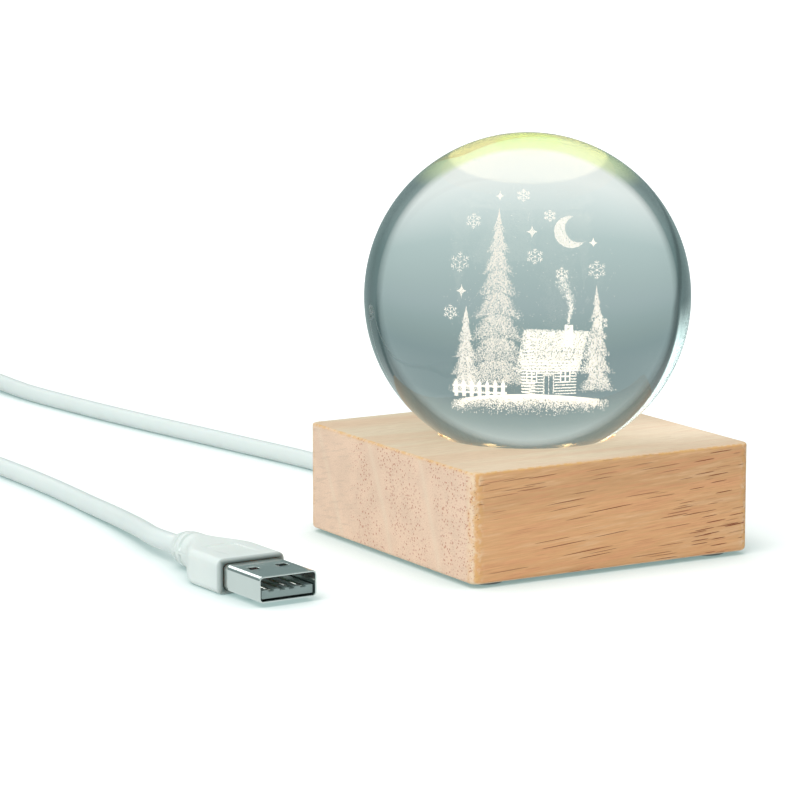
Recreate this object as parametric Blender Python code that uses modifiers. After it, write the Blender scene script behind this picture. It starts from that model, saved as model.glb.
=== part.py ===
"""Crystal ball lamp: a glass ball on a square wooden base, lit from below and fed by a USB lead.

The frame is in metres with +Z up. The origin is on the floor under the centre of the base.
The back of the base, where the lead comes out, faces +Y. The plug lies to the left, at -X.
"""

import math

import bmesh
import bpy
import numpy as np
from mathutils import Vector

# Clearances
FIT = 0.0003  # between neighbouring pieces that touch on the real lamp
SMALL_FIT = 0.0001  # the same between the small pieces inside the plug
SCREW_FIT = 0.0002  # round a screw's shank and between the lead and its hole
CUTTER_PAST = 0.0020  # how far a cutter reaches past the face that it opens
BROKEN_EDGE = 0.0002  # the flat on the edges of small turned and moulded pieces

# Wooden base
BASE_HEIGHT = 0.0220
BASE_CORNER_RADIUS = 0.0020  # of the upright edges
BASE_RIM_ROUND = 0.0006  # of the edges round the top and the bottom
POCKET_ROOM = 0.0010  # from the lamp holder's flange to the wall of the pocket
FOOT_STAND = 0.0008  # how far the pads hold the wood off the floor
FOOT_RADIUS = 0.0040
FOOT_THICKNESS = 0.0010
FOOT_INSET = 0.0063  # from the side of the base to the middle of a pad

# Glass ball and its seat
BALL_RADIUS = 0.0330
BALL_SINK = 0.0050  # how far the ball reaches below the top of the wood
BALL_OVERHANG = 0.0005  # how far the ball reaches past the sides of the base
RECESS_GAP = 0.0005  # the lit slit round the ball
RECESS_CHAMFER = 0.0003
SEAT_INNER_RADIUS = 0.0115
SEAT_WIDTH = 0.0025

# Light under the ball
WINDOW_THICKNESS = 0.0016
WINDOW_LIP = 0.0017  # the wood that the window's edge lies behind
WINDOW_DROP = 0.0008  # from the bottom of the ball down to the window
COLLAR_HEIGHT = 0.0009
COLLAR_WALL = 0.0016
FLANGE_RIM = 0.0022  # from the middle of the flange's screws to its edge
FLANGE_THICKNESS = 0.0013
REFLECTOR_BOTTOM_RADIUS = 0.0092
REFLECTOR_EDGE = 0.0004
BOARD_THICKNESS = 0.0012
LED_COUNT = 6
LED_CIRCLE_RADIUS = 0.0058
LED_LENGTH = 0.0035
LED_WIDTH = 0.0028
LED_HEIGHT = 0.0008
LED_LENS_RADIUS = 0.0011
RESISTOR_LENGTH = 0.0020
RESISTOR_WIDTH = 0.00125
RESISTOR_HEIGHT = 0.0005
RESISTOR_SPACING = 0.0090
RESISTOR_BACK = 0.0070

# Screws
SHANK_RADIUS = 0.0009
HEAD_RADIUS = 0.0017
HEAD_HEIGHT = 0.0011
COUNTERSUNK_RIM = 0.0002
PAN_TOP_RADIUS = 0.0012
PAN_TOP_ROUND = 0.0003
SCREW_TIP = 0.0012
CROSS_SPAN = 0.0018
CROSS_WIDTH = 0.0005
CROSS_DEPTH = 0.0006
HOLDER_SCREW_COUNT = 3
HOLDER_SCREW_WALL = 0.0026  # from the edge of the window to the middle of the screws
HOLDER_SCREW_BITE = 0.0036
COVER_SCREW_COUNT = 4
COVER_SCREW_BITE = 0.0055

# Cover under the base
COVER_LEDGE = 0.0050  # from the wall of the pocket to the edge of the cover
COVER_THICKNESS = 0.0016
COVER_EDGE = 0.0003

# Lead
CORD_DIAMETER = 0.0039
JACKET_END = 0.0080  # how far from the centre the outer jacket stops inside the base
WIRE_DIAMETER = 0.0013
WIRE_PINCH = 0.0017  # from one wire's middle to the other's where they leave the jacket
WIRE_SPACING = 0.0060  # the same at the board
WIRE_RUN = 0.0080  # from the end of the jacket to where the wires meet the board
STRAIN_TIE_WIDTH = 0.0026
STRAIN_TIE_SHARE = 0.43  # of the room between the jacket and the cover, the part that its wall takes
STRAIN_TIE_HEAD = 0.0036
TUBE_STEP = 2.6  # diameters from one ring of a plain stretch to the next

# Coil of the lead that is put away
COIL_X = -0.0440
COIL_Y = 0.2460
COIL_INNER_RADIUS = 0.01615
COIL_PITCH = 0.0046
COIL_LAYER = 0.0044
COIL_TURNS = 4.5
COIL_LOOP_POINTS = 24
COIL_TIE_WIDTH = 0.0030
COIL_TIE_THICKNESS = 0.0006
COIL_TIE_GAP = 0.0004

# Plug, in its own frame: the front of the moulding at Y 0, the metal shell towards -Y
PLUG_X = -0.0697
PLUG_Y = -0.0120
PLUG_TURN = math.radians(2.0)
SHELL_WIDTH = 0.0120
SHELL_HEIGHT = 0.0045
SHELL_WALL = 0.0003
SHELL_CORNER = 0.0006
SHELL_OUT = 0.0136
SHELL_IN = 0.0050
PORT_WIDTH = 0.0021
PORT_LENGTH = 0.0025
PORT_SPACING = 0.0063
PORT_SETBACK = 0.0078
TONGUE_THICKNESS = 0.0016
TONGUE_SETBACK = 0.0004
CONTACT_OUTER_PLACE = 0.0035
CONTACT_INNER_PLACE = 0.0010
CONTACT_WIDTH = 0.0010
CONTACT_THICKNESS = 0.00025
CONTACT_SETBACK_OUTER = 0.0012
CONTACT_SETBACK_INNER = 0.0022
MOULDING_SIDE_WALL = 0.0014
MOULDING_TOP_WALL = 0.00125
MOULDING_CORNER = 0.0014
MOULDING_FRONT_ROUND = 0.0006
MOULDING_STRAIGHT = 0.0110
MOULDING_TAPER = 0.0102
BOOT_LENGTH = 0.0064
BOOT_RADIUS = 0.0034
BOOT_TIP_RADIUS = 0.0025
BOOT_LIP = 0.0003
RIB_GROOVES = 2
RIB_GROOVE_FIRST = 0.0015
RIB_GROOVE_PITCH = 0.0025
RIB_GROOVE_WIDTH = 0.0009
RIB_GROOVE_DEPTH = 0.0005

# The lead's route over the floor, chosen by hand: from the base to the coil, and from the coil to the plug
LEAD_ROUTE = (
    (0.0000, 0.0400, 0.0068),
    (0.0005, 0.0520, 0.0052),
    (0.0012, 0.0660, 0.0030),
    (0.0010, 0.0800, 0.0020),
    (-0.0005, 0.0940, 0.00195),
    (-0.0036, 0.1130, 0.00195),
    (-0.0068, 0.1317, 0.00195),
    (-0.0101, 0.1510, 0.00195),
    (-0.0132, 0.1716, 0.00195),
    (-0.0152, 0.1880, 0.00195),
    (-0.0168, 0.2040, 0.00200),
    (-0.0174, 0.2200, 0.00235),
    (-0.0175, 0.2340, 0.00270),
)
TAIL_ROUTE = (
    (-0.0705, 0.2340, 0.00650),
    (-0.0700, 0.2200, 0.00420),
    (-0.0688, 0.2050, 0.00235),
    (-0.0670, 0.1850, 0.00195),
    (-0.0648, 0.1600, 0.00195),
    (-0.0633, 0.1350, 0.00195),
    (-0.0628, 0.1120, 0.00195),
    (-0.0630, 0.0950, 0.00195),
    (-0.0637, 0.0800, 0.00195),
    (-0.0645, 0.0700, 0.00205),
    (-0.0662, 0.0530, 0.00250),
    (-0.0685, 0.0380, 0.00310),
    (-0.0703, 0.0280, 0.00342),
)

# Smoothness
ROUND_STEPS = 64
SMALL_ROUND_STEPS = 20
BALL_SEGMENTS = 48
CORNER_STEPS = 5
TAPER_STEPS = 9
FRONT_ROUND_SHARES = (0.0, 0.25, 0.6, 1.0)

# Heights that follow from the sizes above, from the top of the wood downwards
WOOD_BOTTOM = FOOT_STAND
WOOD_TOP = WOOD_BOTTOM + BASE_HEIGHT
BALL_BOTTOM = WOOD_TOP - BALL_SINK
BALL_CENTRE = BALL_BOTTOM + BALL_RADIUS
WINDOW_TOP = BALL_BOTTOM - WINDOW_DROP
WINDOW_BOTTOM = WINDOW_TOP - WINDOW_THICKNESS
HOLDER_TOP = WINDOW_BOTTOM - FIT
FLANGE_TOP = HOLDER_TOP - COLLAR_HEIGHT
POCKET_TOP = FLANGE_TOP + FIT
HOLDER_BOTTOM = FLANGE_TOP - FLANGE_THICKNESS
BOARD_TOP = HOLDER_BOTTOM - FIT
BOARD_BOTTOM = BOARD_TOP - BOARD_THICKNESS
COVER_TOP = WOOD_BOTTOM + COVER_THICKNESS
RABBET_TOP = COVER_TOP + FIT

# Widths, radii and places that follow
BASE_SIDE = 2 * (BALL_RADIUS - BALL_OVERHANG)
RECESS_RADIUS = math.sqrt(BALL_RADIUS**2 - (BALL_RADIUS - BALL_SINK) ** 2) + RECESS_GAP
SEAT_OUTER_RADIUS = SEAT_INNER_RADIUS + SEAT_WIDTH
WINDOW_RADIUS = SEAT_INNER_RADIUS + WINDOW_LIP
HOLDER_SCREW_CIRCLE = WINDOW_RADIUS + HOLDER_SCREW_WALL
FLANGE_RADIUS = HOLDER_SCREW_CIRCLE + FLANGE_RIM
POCKET_RADIUS = FLANGE_RADIUS + POCKET_ROOM
COVER_RADIUS = POCKET_RADIUS + COVER_LEDGE
RABBET_RADIUS = COVER_RADIUS + FIT
COVER_SCREW_CIRCLE = (POCKET_RADIUS + COVER_RADIUS) / 2
FOOT_PLACE = BASE_SIDE / 2 - FOOT_INSET
BACK_FACE = BASE_SIDE / 2
CORD_RADIUS = CORD_DIAMETER / 2
CORD_HOLE_HEIGHT = (COVER_TOP + BOARD_BOTTOM) / 2
COIL_LIFT = COIL_TIE_THICKNESS + FIT
COIL_BOTTOM_HEIGHT = COIL_LIFT + CORD_RADIUS
MOULDING_WIDTH = SHELL_WIDTH + 2 * MOULDING_SIDE_WALL
MOULDING_HEIGHT = SHELL_HEIGHT + 2 * MOULDING_TOP_WALL
MOULDING_LENGTH = MOULDING_STRAIGHT + MOULDING_TAPER + BOOT_LENGTH
PLUG_AXIS_HEIGHT = MOULDING_HEIGHT / 2
TONGUE_BOTTOM = PLUG_AXIS_HEIGHT - SHELL_HEIGHT / 2 + SHELL_WALL + SMALL_FIT
TONGUE_TOP = TONGUE_BOTTOM + TONGUE_THICKNESS


def clear_scene():
    """Take every object out of the scene."""
    for obj in list(bpy.data.objects):
        bpy.data.objects.remove(obj, do_unlink=True)


def collection_named(name):
    """A new collection linked to the scene."""
    made = bpy.data.collections.new(name)
    bpy.context.scene.collection.children.link(made)
    return made


def finish_named(name, colour, roughness, metallic=0.0, transmission=0.0, glow=0.0):
    """A Principled material."""
    made = bpy.data.materials.new(name)
    made.use_nodes = True
    shader = made.node_tree.nodes["Principled BSDF"]
    shader.inputs["Base Color"].default_value = (*colour, 1.0)
    shader.inputs["Roughness"].default_value = roughness
    shader.inputs["Metallic"].default_value = metallic
    shader.inputs["Transmission Weight"].default_value = transmission
    shader.inputs["Emission Color"].default_value = (*colour, 1.0)
    shader.inputs["Emission Strength"].default_value = glow
    return made


def object_of(name, data, material, parent=None):
    """A visible piece of the lamp made of a mesh or a curve."""
    made = bpy.data.objects.new(name, data)
    LAMP.objects.link(made)
    if not data.materials:
        data.materials.append(material)
    made.parent = parent
    return made


def mesh_of(name, bm):
    """The mesh that a bmesh holds, with smooth round sides and sharp corners."""
    made = bpy.data.meshes.new(name)
    bmesh.ops.recalc_face_normals(bm, faces=bm.faces)
    bm.to_mesh(made)
    bm.free()
    made.shade_smooth()
    made.set_sharp_from_angle(angle=math.radians(35))
    return made


def as_cutter(obj):
    """Move a piece to the cutters, so that it shapes others and isn't part of the lamp."""
    for owner in list(obj.users_collection):
        owner.objects.unlink(obj)
    CUTTERS.objects.link(obj)
    obj.hide_render = True
    obj.display_type = "WIRE"
    return obj


def cut(obj, *cutters):
    """Take each cutter's shape out of the piece."""
    for cutter in cutters:
        boolean = obj.modifiers.new(cutter.name, "BOOLEAN")
        boolean.operation = "DIFFERENCE"
        boolean.solver = "EXACT"
        boolean.object = as_cutter(cutter)
    return obj


def settled(obj):
    """Replace a piece's modifiers by the mesh that they give, so that copies can share it."""
    bpy.context.view_layer.update()
    graph = bpy.context.evaluated_depsgraph_get()
    made = bpy.data.meshes.new_from_object(obj.evaluated_get(graph))
    helpers = [m.object for m in obj.modifiers if m.type == "BOOLEAN"]
    obj.modifiers.clear()
    obj.data = made
    for helper in helpers:
        bpy.data.objects.remove(helper, do_unlink=True)
    return obj


def copies(first, names, places, turns=None):
    """Copies of a piece that share its mesh, one for each place, the first of them the piece itself."""
    made = []
    for i, (name, place) in enumerate(zip(names, places)):
        obj = first if i == 0 else object_of(name, first.data, None, first.parent)
        obj.name = name
        obj.location = place
        obj.rotation_euler = (0, 0, turns[i] if turns else 0)
        made.append(obj)
    return made


def block(name, size, centre, material, rounding=0.0, steps=2, parent=None):
    """A box with rounded edges."""
    bm = bmesh.new()
    bmesh.ops.create_cube(bm, size=1.0)
    bmesh.ops.scale(bm, vec=size, verts=bm.verts)
    obj = object_of(name, mesh_of(name, bm), material, parent)
    obj.location = centre
    if rounding:
        bevel = obj.modifiers.new("rounded edges", "BEVEL")
        bevel.width = rounding
        bevel.segments = steps
    return obj


def disc(name, radius, low, high, centre, material, steps=SMALL_ROUND_STEPS, parent=None):
    """An upright cylinder between two heights."""
    bm = bmesh.new()
    bmesh.ops.create_cone(bm, cap_ends=True, segments=steps, radius1=radius, radius2=radius, depth=high - low)
    obj = object_of(name, mesh_of(name, bm), material, parent)
    obj.location = (centre[0], centre[1], (low + high) / 2)
    return obj


def rod(name, radius, start, end, height, material, steps=SMALL_ROUND_STEPS):
    """A cylinder that lies along Y between two places, over the middle of X."""
    obj = disc(name, radius, start, end, (0, 0), material, steps)
    obj.rotation_euler = (math.radians(-90), 0, 0)
    obj.location = (0, (start + end) / 2, height)
    return obj


def turned(name, profile, material, steps=ROUND_STEPS, closed=False, parent=None):
    """A lathe shape: the profile is (radius, height) pairs that run down its outer side."""
    bm = bmesh.new()
    points = [bm.verts.new((radius, 0, height)) for radius, height in profile]
    for first, second in zip(points, points[1:]):
        bm.edges.new((first, second))
    if closed:
        bm.edges.new((points[-1], points[0]))
    mesh = bpy.data.meshes.new(name)
    bm.to_mesh(mesh)
    bm.free()
    obj = object_of(name, mesh, material, parent)
    screw = obj.modifiers.new("turned", "SCREW")
    screw.axis = "Z"
    screw.steps = screw.render_steps = steps
    screw.use_merge_vertices = True
    screw.merge_threshold = 0.00001
    screw.use_smooth_shade = True
    return obj


def prism(name, outline, start, end, material, parent=None):
    """A flat outline of (x, z) pairs carried along Y from start to end."""
    bm = bmesh.new()
    face = bm.faces.new([bm.verts.new((x, start, z)) for x, z in outline])
    grown = bmesh.ops.extrude_face_region(bm, geom=[face])
    moved = [v for v in grown["geom"] if isinstance(v, bmesh.types.BMVert)]
    bmesh.ops.translate(bm, verts=moved, vec=(0, end - start, 0))
    return object_of(name, mesh_of(name, bm), material, parent)


def rounded_rectangle(half_width, half_height, corner, centre_height=0.0, steps=CORNER_STEPS):
    """The outline of a rectangle whose corners are arcs, counter-clockwise from the right."""
    corner = min(corner, 0.96 * half_width, 0.96 * half_height)
    outline = []
    for side_x, side_z, first in ((1, 1, 0), (-1, 1, 90), (-1, -1, 180), (1, -1, 270)):
        for step in range(steps + 1):
            angle = math.radians(first + 90 * step / steps)
            x = side_x * (half_width - corner) + corner * math.cos(angle)
            z = side_z * (half_height - corner) + corner * math.sin(angle)
            outline.append((x, centre_height + z))
    return outline


def tube(name, points, diameter, material, sides_setting=2):
    """A round tube along a line of points, with closed ends."""
    curve = bpy.data.curves.new(name, "CURVE")
    curve.dimensions = "3D"
    curve.bevel_depth = diameter / 2
    curve.bevel_resolution = sides_setting
    curve.use_fill_caps = True
    spline = curve.splines.new("POLY")
    spline.points.add(len(points) - 1)
    for point, place in zip(spline.points, points):
        point.co = (*place, 1.0)
    return object_of(name, curve, material)


def smooth_route(points, step):
    """Points a step apart on the smooth curve through the given ones, whose pace follows their spacing."""
    points = np.array(points, float)
    before = 2 * points[0] - points[1]
    after = 2 * points[-1] - points[-2]
    p = np.vstack([before, points, after])
    knots = np.concatenate([[0], np.cumsum(np.sqrt(np.linalg.norm(np.diff(p, axis=0), axis=1)))])
    fine = []
    for i in range(1, len(p) - 2):
        t0, t1, t2, t3 = knots[i - 1 : i + 3]
        t = np.linspace(t1, t2, 24, endpoint=False)[:, None]
        a1 = ((t1 - t) * p[i - 1] + (t - t0) * p[i]) / (t1 - t0)
        a2 = ((t2 - t) * p[i] + (t - t1) * p[i + 1]) / (t2 - t1)
        a3 = ((t3 - t) * p[i + 1] + (t - t2) * p[i + 2]) / (t3 - t2)
        b1 = ((t2 - t) * a1 + (t - t0) * a2) / (t2 - t0)
        b2 = ((t3 - t) * a2 + (t - t1) * a3) / (t3 - t1)
        fine.append(((t2 - t) * b1 + (t - t1) * b2) / (t2 - t1))
    fine = np.vstack([*fine, points[-1:]])
    along = np.concatenate([[0], np.cumsum(np.linalg.norm(np.diff(fine, axis=0), axis=1))])
    wanted = np.linspace(0, along[-1], max(2, round(along[-1] / step)) + 1)
    return np.stack([np.interp(wanted, along, fine[:, axis]) for axis in range(3)], axis=1)


def length_of(points):
    """The length of a line of points."""
    return float(np.linalg.norm(np.diff(np.array(points), axis=0), axis=1).sum())


def ring_places(radius, count, height, first_angle=0.0):
    """Places evenly spaced round a circle."""
    angles = [first_angle + 2 * math.pi * i / count for i in range(count)]
    return [(radius * math.cos(a), radius * math.sin(a), height) for a in angles]


def under_ball(radius, gap):
    """The height, at this distance from the axis, of a surface that stays a gap below the ball."""
    return BALL_CENTRE - math.sqrt((BALL_RADIUS + gap) ** 2 - radius**2)


def make_wood_base():
    """The block with its stepped bore, the lead's hole, the pads' seats and the screws' pilot holes."""
    outline = rounded_rectangle(BASE_SIDE / 2, BASE_SIDE / 2, BASE_CORNER_RADIUS)
    base = prism("wood_base", outline, WOOD_BOTTOM, WOOD_TOP, WOOD)
    base.rotation_euler = (math.radians(90), 0, 0)
    rims = base.modifiers.new("rounded rims", "BEVEL")
    rims.width = BASE_RIM_ROUND
    rims.segments = 2
    rims.limit_method = "ANGLE"
    rims.angle_limit = math.radians(60)
    seat_low = under_ball(SEAT_INNER_RADIUS, FIT)
    seat_high = under_ball(SEAT_OUTER_RADIUS, FIT)
    bore = (
        (0, WOOD_TOP + CUTTER_PAST),
        (RECESS_RADIUS + RECESS_CHAMFER + CUTTER_PAST, WOOD_TOP + CUTTER_PAST),
        (RECESS_RADIUS, WOOD_TOP - RECESS_CHAMFER),
        (RECESS_RADIUS, seat_high),
        (SEAT_OUTER_RADIUS, seat_high),
        (SEAT_INNER_RADIUS, seat_low),
        (SEAT_INNER_RADIUS, WINDOW_TOP + FIT),
        (WINDOW_RADIUS + FIT, WINDOW_TOP + FIT),
        (WINDOW_RADIUS + FIT, POCKET_TOP),
        (POCKET_RADIUS, POCKET_TOP),
        (POCKET_RADIUS, RABBET_TOP),
        (RABBET_RADIUS, RABBET_TOP),
        (RABBET_RADIUS, WOOD_BOTTOM - CUTTER_PAST),
        (0, WOOD_BOTTOM - CUTTER_PAST),
    )
    cut(base, turned("bore_cutter", bore, WOOD))
    reach = (POCKET_RADIUS - CUTTER_PAST, BACK_FACE + CUTTER_PAST)
    cut(base, rod("cord_hole_cutter", CORD_RADIUS + SCREW_FIT, *reach, CORD_HOLE_HEIGHT, WOOD))
    reach = (WOOD_BOTTOM - CUTTER_PAST, FOOT_THICKNESS + FIT)
    for i, (x, y, _) in enumerate(foot_places()):
        cut(base, disc(f"foot_seat_cutter_{i + 1}", FOOT_RADIUS + FIT, *reach, (x, y), WOOD))
    cut_pilot_holes(base, "holder", holder_screw_places(POCKET_TOP), HOLDER_SCREW_BITE)
    cut_pilot_holes(base, "cover", cover_screw_places(RABBET_TOP), COVER_SCREW_BITE)


def cut_pilot_holes(base, name, places, bite):
    """Blind holes up into the wood, one for each screw."""
    for i, (x, y, z) in enumerate(places):
        reach = (z - FIT, z + bite + FIT)
        cut(base, disc(f"{name}_pilot_cutter_{i + 1}", SHANK_RADIUS + SCREW_FIT, *reach, (x, y), WOOD, 12))


def foot_places():
    """The middles of the four pads, under the corners of the base."""
    return ring_places(FOOT_PLACE * math.sqrt(2), 4, 0, math.radians(45))


def holder_screw_places(height):
    """Where the screws that hold the lamp holder enter the wood."""
    return ring_places(HOLDER_SCREW_CIRCLE, HOLDER_SCREW_COUNT, height, math.radians(30))


def cover_screw_places(height):
    """Where the screws that hold the cover enter the wood."""
    return ring_places(COVER_SCREW_CIRCLE, COVER_SCREW_COUNT, height, math.radians(45))


def make_ball():
    """The solid glass ball, on an empty that stands on its lifting axis."""
    axis = bpy.data.objects.new("ball_lift_axis", None)
    LAMP.objects.link(axis)
    axis.location = (0, 0, BALL_BOTTOM)
    bm = bmesh.new()
    bmesh.ops.create_uvsphere(bm, u_segments=BALL_SEGMENTS, v_segments=BALL_SEGMENTS // 2, radius=BALL_RADIUS)
    ball = object_of("crystal_ball", mesh_of("crystal_ball", bm), GLASS, axis)
    ball.location = (0, 0, BALL_RADIUS)


def make_light():
    """The frosted window, the holder with its cone-shaped reflector, and the lamp board."""
    turned(
        "light_window",
        (
            (0, WINDOW_TOP),
            (WINDOW_RADIUS - BROKEN_EDGE, WINDOW_TOP),
            (WINDOW_RADIUS, WINDOW_TOP - BROKEN_EDGE),
            (WINDOW_RADIUS, WINDOW_BOTTOM + BROKEN_EDGE),
            (WINDOW_RADIUS - BROKEN_EDGE, WINDOW_BOTTOM),
            (0, WINDOW_BOTTOM),
        ),
        FROSTED,
    )
    holder = turned(
        "led_holder",
        (
            (WINDOW_RADIUS, HOLDER_TOP),
            (WINDOW_RADIUS, FLANGE_TOP),
            (FLANGE_RADIUS, FLANGE_TOP),
            (FLANGE_RADIUS, HOLDER_BOTTOM),
            (REFLECTOR_BOTTOM_RADIUS, HOLDER_BOTTOM),
            (REFLECTOR_BOTTOM_RADIUS, HOLDER_BOTTOM + REFLECTOR_EDGE),
            (WINDOW_RADIUS - COLLAR_WALL, HOLDER_TOP),
        ),
        WHITE_PLASTIC,
        closed=True,
    )
    board = disc("led_board", FLANGE_RADIUS, BOARD_BOTTOM, BOARD_TOP, (0, 0), BOARD_WHITE, 48)
    for i, (x, y, z) in enumerate(holder_screw_places(BOARD_BOTTOM)):
        reach = (z - FIT, FLANGE_TOP + FIT)
        for piece in (holder, board):
            cut(piece, disc(f"{piece.name}_hole_{i + 1}", SHANK_RADIUS + SCREW_FIT, *reach, (x, y), WOOD, 12))


def make_board_parts():
    """The LEDs in a ring on the board, each with its lens dish, and the resistors under it."""
    led_size = (LED_LENGTH, LED_WIDTH, LED_HEIGHT)
    led_height = BOARD_TOP + FIT + LED_HEIGHT / 2
    led = block("led_1", led_size, (0, 0, 0), LED_YELLOW, BROKEN_EDGE, steps=1)
    dish = disc("led_dish_cutter", LED_LENS_RADIUS, LED_HEIGHT / 4, LED_HEIGHT, (0, 0), LED_YELLOW, 16)
    settled(cut(led, dish))
    angles = [2 * math.pi * i / LED_COUNT for i in range(LED_COUNT)]
    names = [f"led_{i + 1}" for i in range(LED_COUNT)]
    copies(led, names, ring_places(LED_CIRCLE_RADIUS, LED_COUNT, led_height), angles)
    resistor_size = (RESISTOR_LENGTH, RESISTOR_WIDTH, RESISTOR_HEIGHT)
    below = BOARD_BOTTOM - FIT - RESISTOR_HEIGHT / 2
    chip = block("resistor_1", resistor_size, (0, 0, 0), CHIP_BLACK, BROKEN_EDGE / 2, steps=1)
    settled(chip)
    places = [(side * RESISTOR_SPACING / 2, -RESISTOR_BACK, below) for side in (-1, 1)]
    copies(chip, ("resistor_1", "resistor_2"), places)


def make_screw(name, length, countersunk):
    """A screw that points up from its head's outer face at height 0, with a cross recess."""
    if countersunk:
        head = ((HEAD_RADIUS, COUNTERSUNK_RIM), (HEAD_RADIUS, 0))
    else:
        head = ((HEAD_RADIUS, HEAD_HEIGHT), (HEAD_RADIUS, PAN_TOP_ROUND), (PAN_TOP_RADIUS, 0))
    neck = (SHANK_RADIUS, HEAD_HEIGHT)
    tip = ((0, length), (SHANK_RADIUS, length - SCREW_TIP))
    screw = turned(name, (*tip, neck, *head, (0, 0)), STEEL, SMALL_ROUND_STEPS)
    cross = prism("cross_cutter", cross_outline(CROSS_SPAN / 2, CROSS_WIDTH / 2), -FIT, CROSS_DEPTH, STEEL)
    cross.rotation_euler = (math.radians(90), 0, 0)
    return settled(cut(screw, cross))


def cross_outline(reach, half_width):
    """The twelve corners of an upright cross, quarter by quarter."""
    quarter = ((reach, half_width), (half_width, half_width), (half_width, reach))
    outline = []
    for side_x, side_z, order in ((1, 1, 1), (-1, 1, -1), (-1, -1, 1), (1, -1, -1)):
        outline += [(side_x * x, side_z * z) for x, z in quarter[::order]]
    return outline


def make_screws():
    """The screws under the board and those that hold the cover."""
    holder_length = HEAD_HEIGHT + FIT + (POCKET_TOP - BOARD_BOTTOM) + HOLDER_SCREW_BITE
    first = make_screw("holder_screw_1", holder_length, countersunk=False)
    names = [f"holder_screw_{i + 1}" for i in range(HOLDER_SCREW_COUNT)]
    copies(first, names, holder_screw_places(BOARD_BOTTOM - FIT - HEAD_HEIGHT))
    cover_length = (RABBET_TOP - WOOD_BOTTOM) + COVER_SCREW_BITE
    first = make_screw("cover_screw_1", cover_length, countersunk=True)
    names = [f"cover_screw_{i + 1}" for i in range(COVER_SCREW_COUNT)]
    copies(first, names, cover_screw_places(WOOD_BOTTOM))


def make_cover():
    """The round cover let into the underside, with countersunk screw holes."""
    cover = turned(
        "bottom_cover",
        (
            (0, COVER_TOP),
            (COVER_RADIUS, COVER_TOP),
            (COVER_RADIUS, WOOD_BOTTOM + COVER_EDGE),
            (COVER_RADIUS - COVER_EDGE, WOOD_BOTTOM),
            (0, WOOD_BOTTOM),
        ),
        WHITE_PLASTIC,
    )
    wide = HEAD_RADIUS + SCREW_FIT
    sunk = WOOD_BOTTOM + HEAD_HEIGHT + SCREW_FIT
    hole = (
        (0, COVER_TOP + CUTTER_PAST),
        (SHANK_RADIUS + SCREW_FIT, COVER_TOP + CUTTER_PAST),
        (SHANK_RADIUS + SCREW_FIT, sunk),
        (wide, WOOD_BOTTOM + COUNTERSUNK_RIM + SCREW_FIT),
        (wide, WOOD_BOTTOM - CUTTER_PAST),
        (0, WOOD_BOTTOM - CUTTER_PAST),
    )
    for i, (x, y, _) in enumerate(cover_screw_places(0)):
        cutter = turned(f"cover_hole_cutter_{i + 1}", hole, WHITE_PLASTIC, SMALL_ROUND_STEPS)
        cutter.location = (x, y, 0)
        cut(cover, cutter)


def make_pads():
    """The four soft pads that the base stands on."""
    pad = turned(
        "foot_pad_1",
        (
            (0, FOOT_THICKNESS),
            (FOOT_RADIUS, FOOT_THICKNESS),
            (FOOT_RADIUS, BROKEN_EDGE),
            (FOOT_RADIUS - BROKEN_EDGE, 0),
            (0, 0),
        ),
        RUBBER,
        28,
    )
    settled(pad)
    copies(pad, [f"foot_pad_{i + 1}" for i in range(4)], foot_places())


def make_inner_lead():
    """The jacket inside the base, and the two wires that leave it and rise to the board."""
    start = (0, JACKET_END, CORD_HOLE_HEIGHT)
    end = (0, BACK_FACE, CORD_HOLE_HEIGHT)
    tube("cord_inner", [start, end], CORD_DIAMETER, CORD_WHITE)
    rise = BOARD_BOTTOM - FIT - CORD_HOLE_HEIGHT
    for name, side, finish in (("wire_red", -1, WIRE_RED), ("wire_black", 1, WIRE_BLACK)):
        near = side * WIRE_PINCH / 2
        spread = side * WIRE_SPACING / 2 - near
        route = []
        for along, out, up in ((0, 0, 0), (0.25, 0, 0), (0.62, 0.5, 0.33), (0.94, 1, 0.67), (1, 1, 1)):
            place = JACKET_END - FIT - WIRE_RUN * along
            route.append((near + spread * out, place, CORD_HOLE_HEIGHT + rise * up))
        tube(name, smooth_route(route, 1.2 * WIRE_DIAMETER), WIRE_DIAMETER, finish)


def make_strain_tie():
    """The tie that grips the jacket just inside the wall, so that a pull doesn't reach the wires."""
    inside = CORD_RADIUS + SCREW_FIT
    outside = inside + STRAIN_TIE_SHARE * (CORD_HOLE_HEIGHT - COVER_TOP - inside)
    lock_place = outside + STRAIN_TIE_HEAD / 5
    high = math.sqrt(POCKET_RADIUS**2 - (lock_place + STRAIN_TIE_HEAD / 2) ** 2) - FIT
    low = high - STRAIN_TIE_WIDTH
    tie = rod("strain_tie", outside, low, high, CORD_HOLE_HEIGHT, TIE_WHITE, 24)
    head = block(
        "strain_tie_head",
        (STRAIN_TIE_HEAD, STRAIN_TIE_WIDTH, STRAIN_TIE_HEAD),
        (lock_place, (low + high) / 2, CORD_HOLE_HEIGHT),
        TIE_WHITE,
    )
    union = tie.modifiers.new("lock of the tie", "BOOLEAN")
    union.operation = "UNION"
    union.solver = "EXACT"
    union.object = as_cutter(head)
    reach = (low - FIT, high + FIT)
    cut(tie, rod("strain_tie_cutter", inside, *reach, CORD_HOLE_HEIGHT, TIE_WHITE, 24))


def coil_radius(turn):
    """The loops spiral in to the middle of the count and out again at the same rate."""
    return COIL_INNER_RADIUS + COIL_PITCH * abs(turn - COIL_TURNS / 2)


def coil_height(turn):
    """The lower layer, then a climb of half a turn where the spiral reverses, then the upper layer."""
    share = min(1.0, max(0.0, (turn - COIL_TURNS / 2) / 0.5 + 0.5))
    return COIL_BOTTOM_HEIGHT + COIL_LAYER * share * share * (3 - 2 * share)


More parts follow.
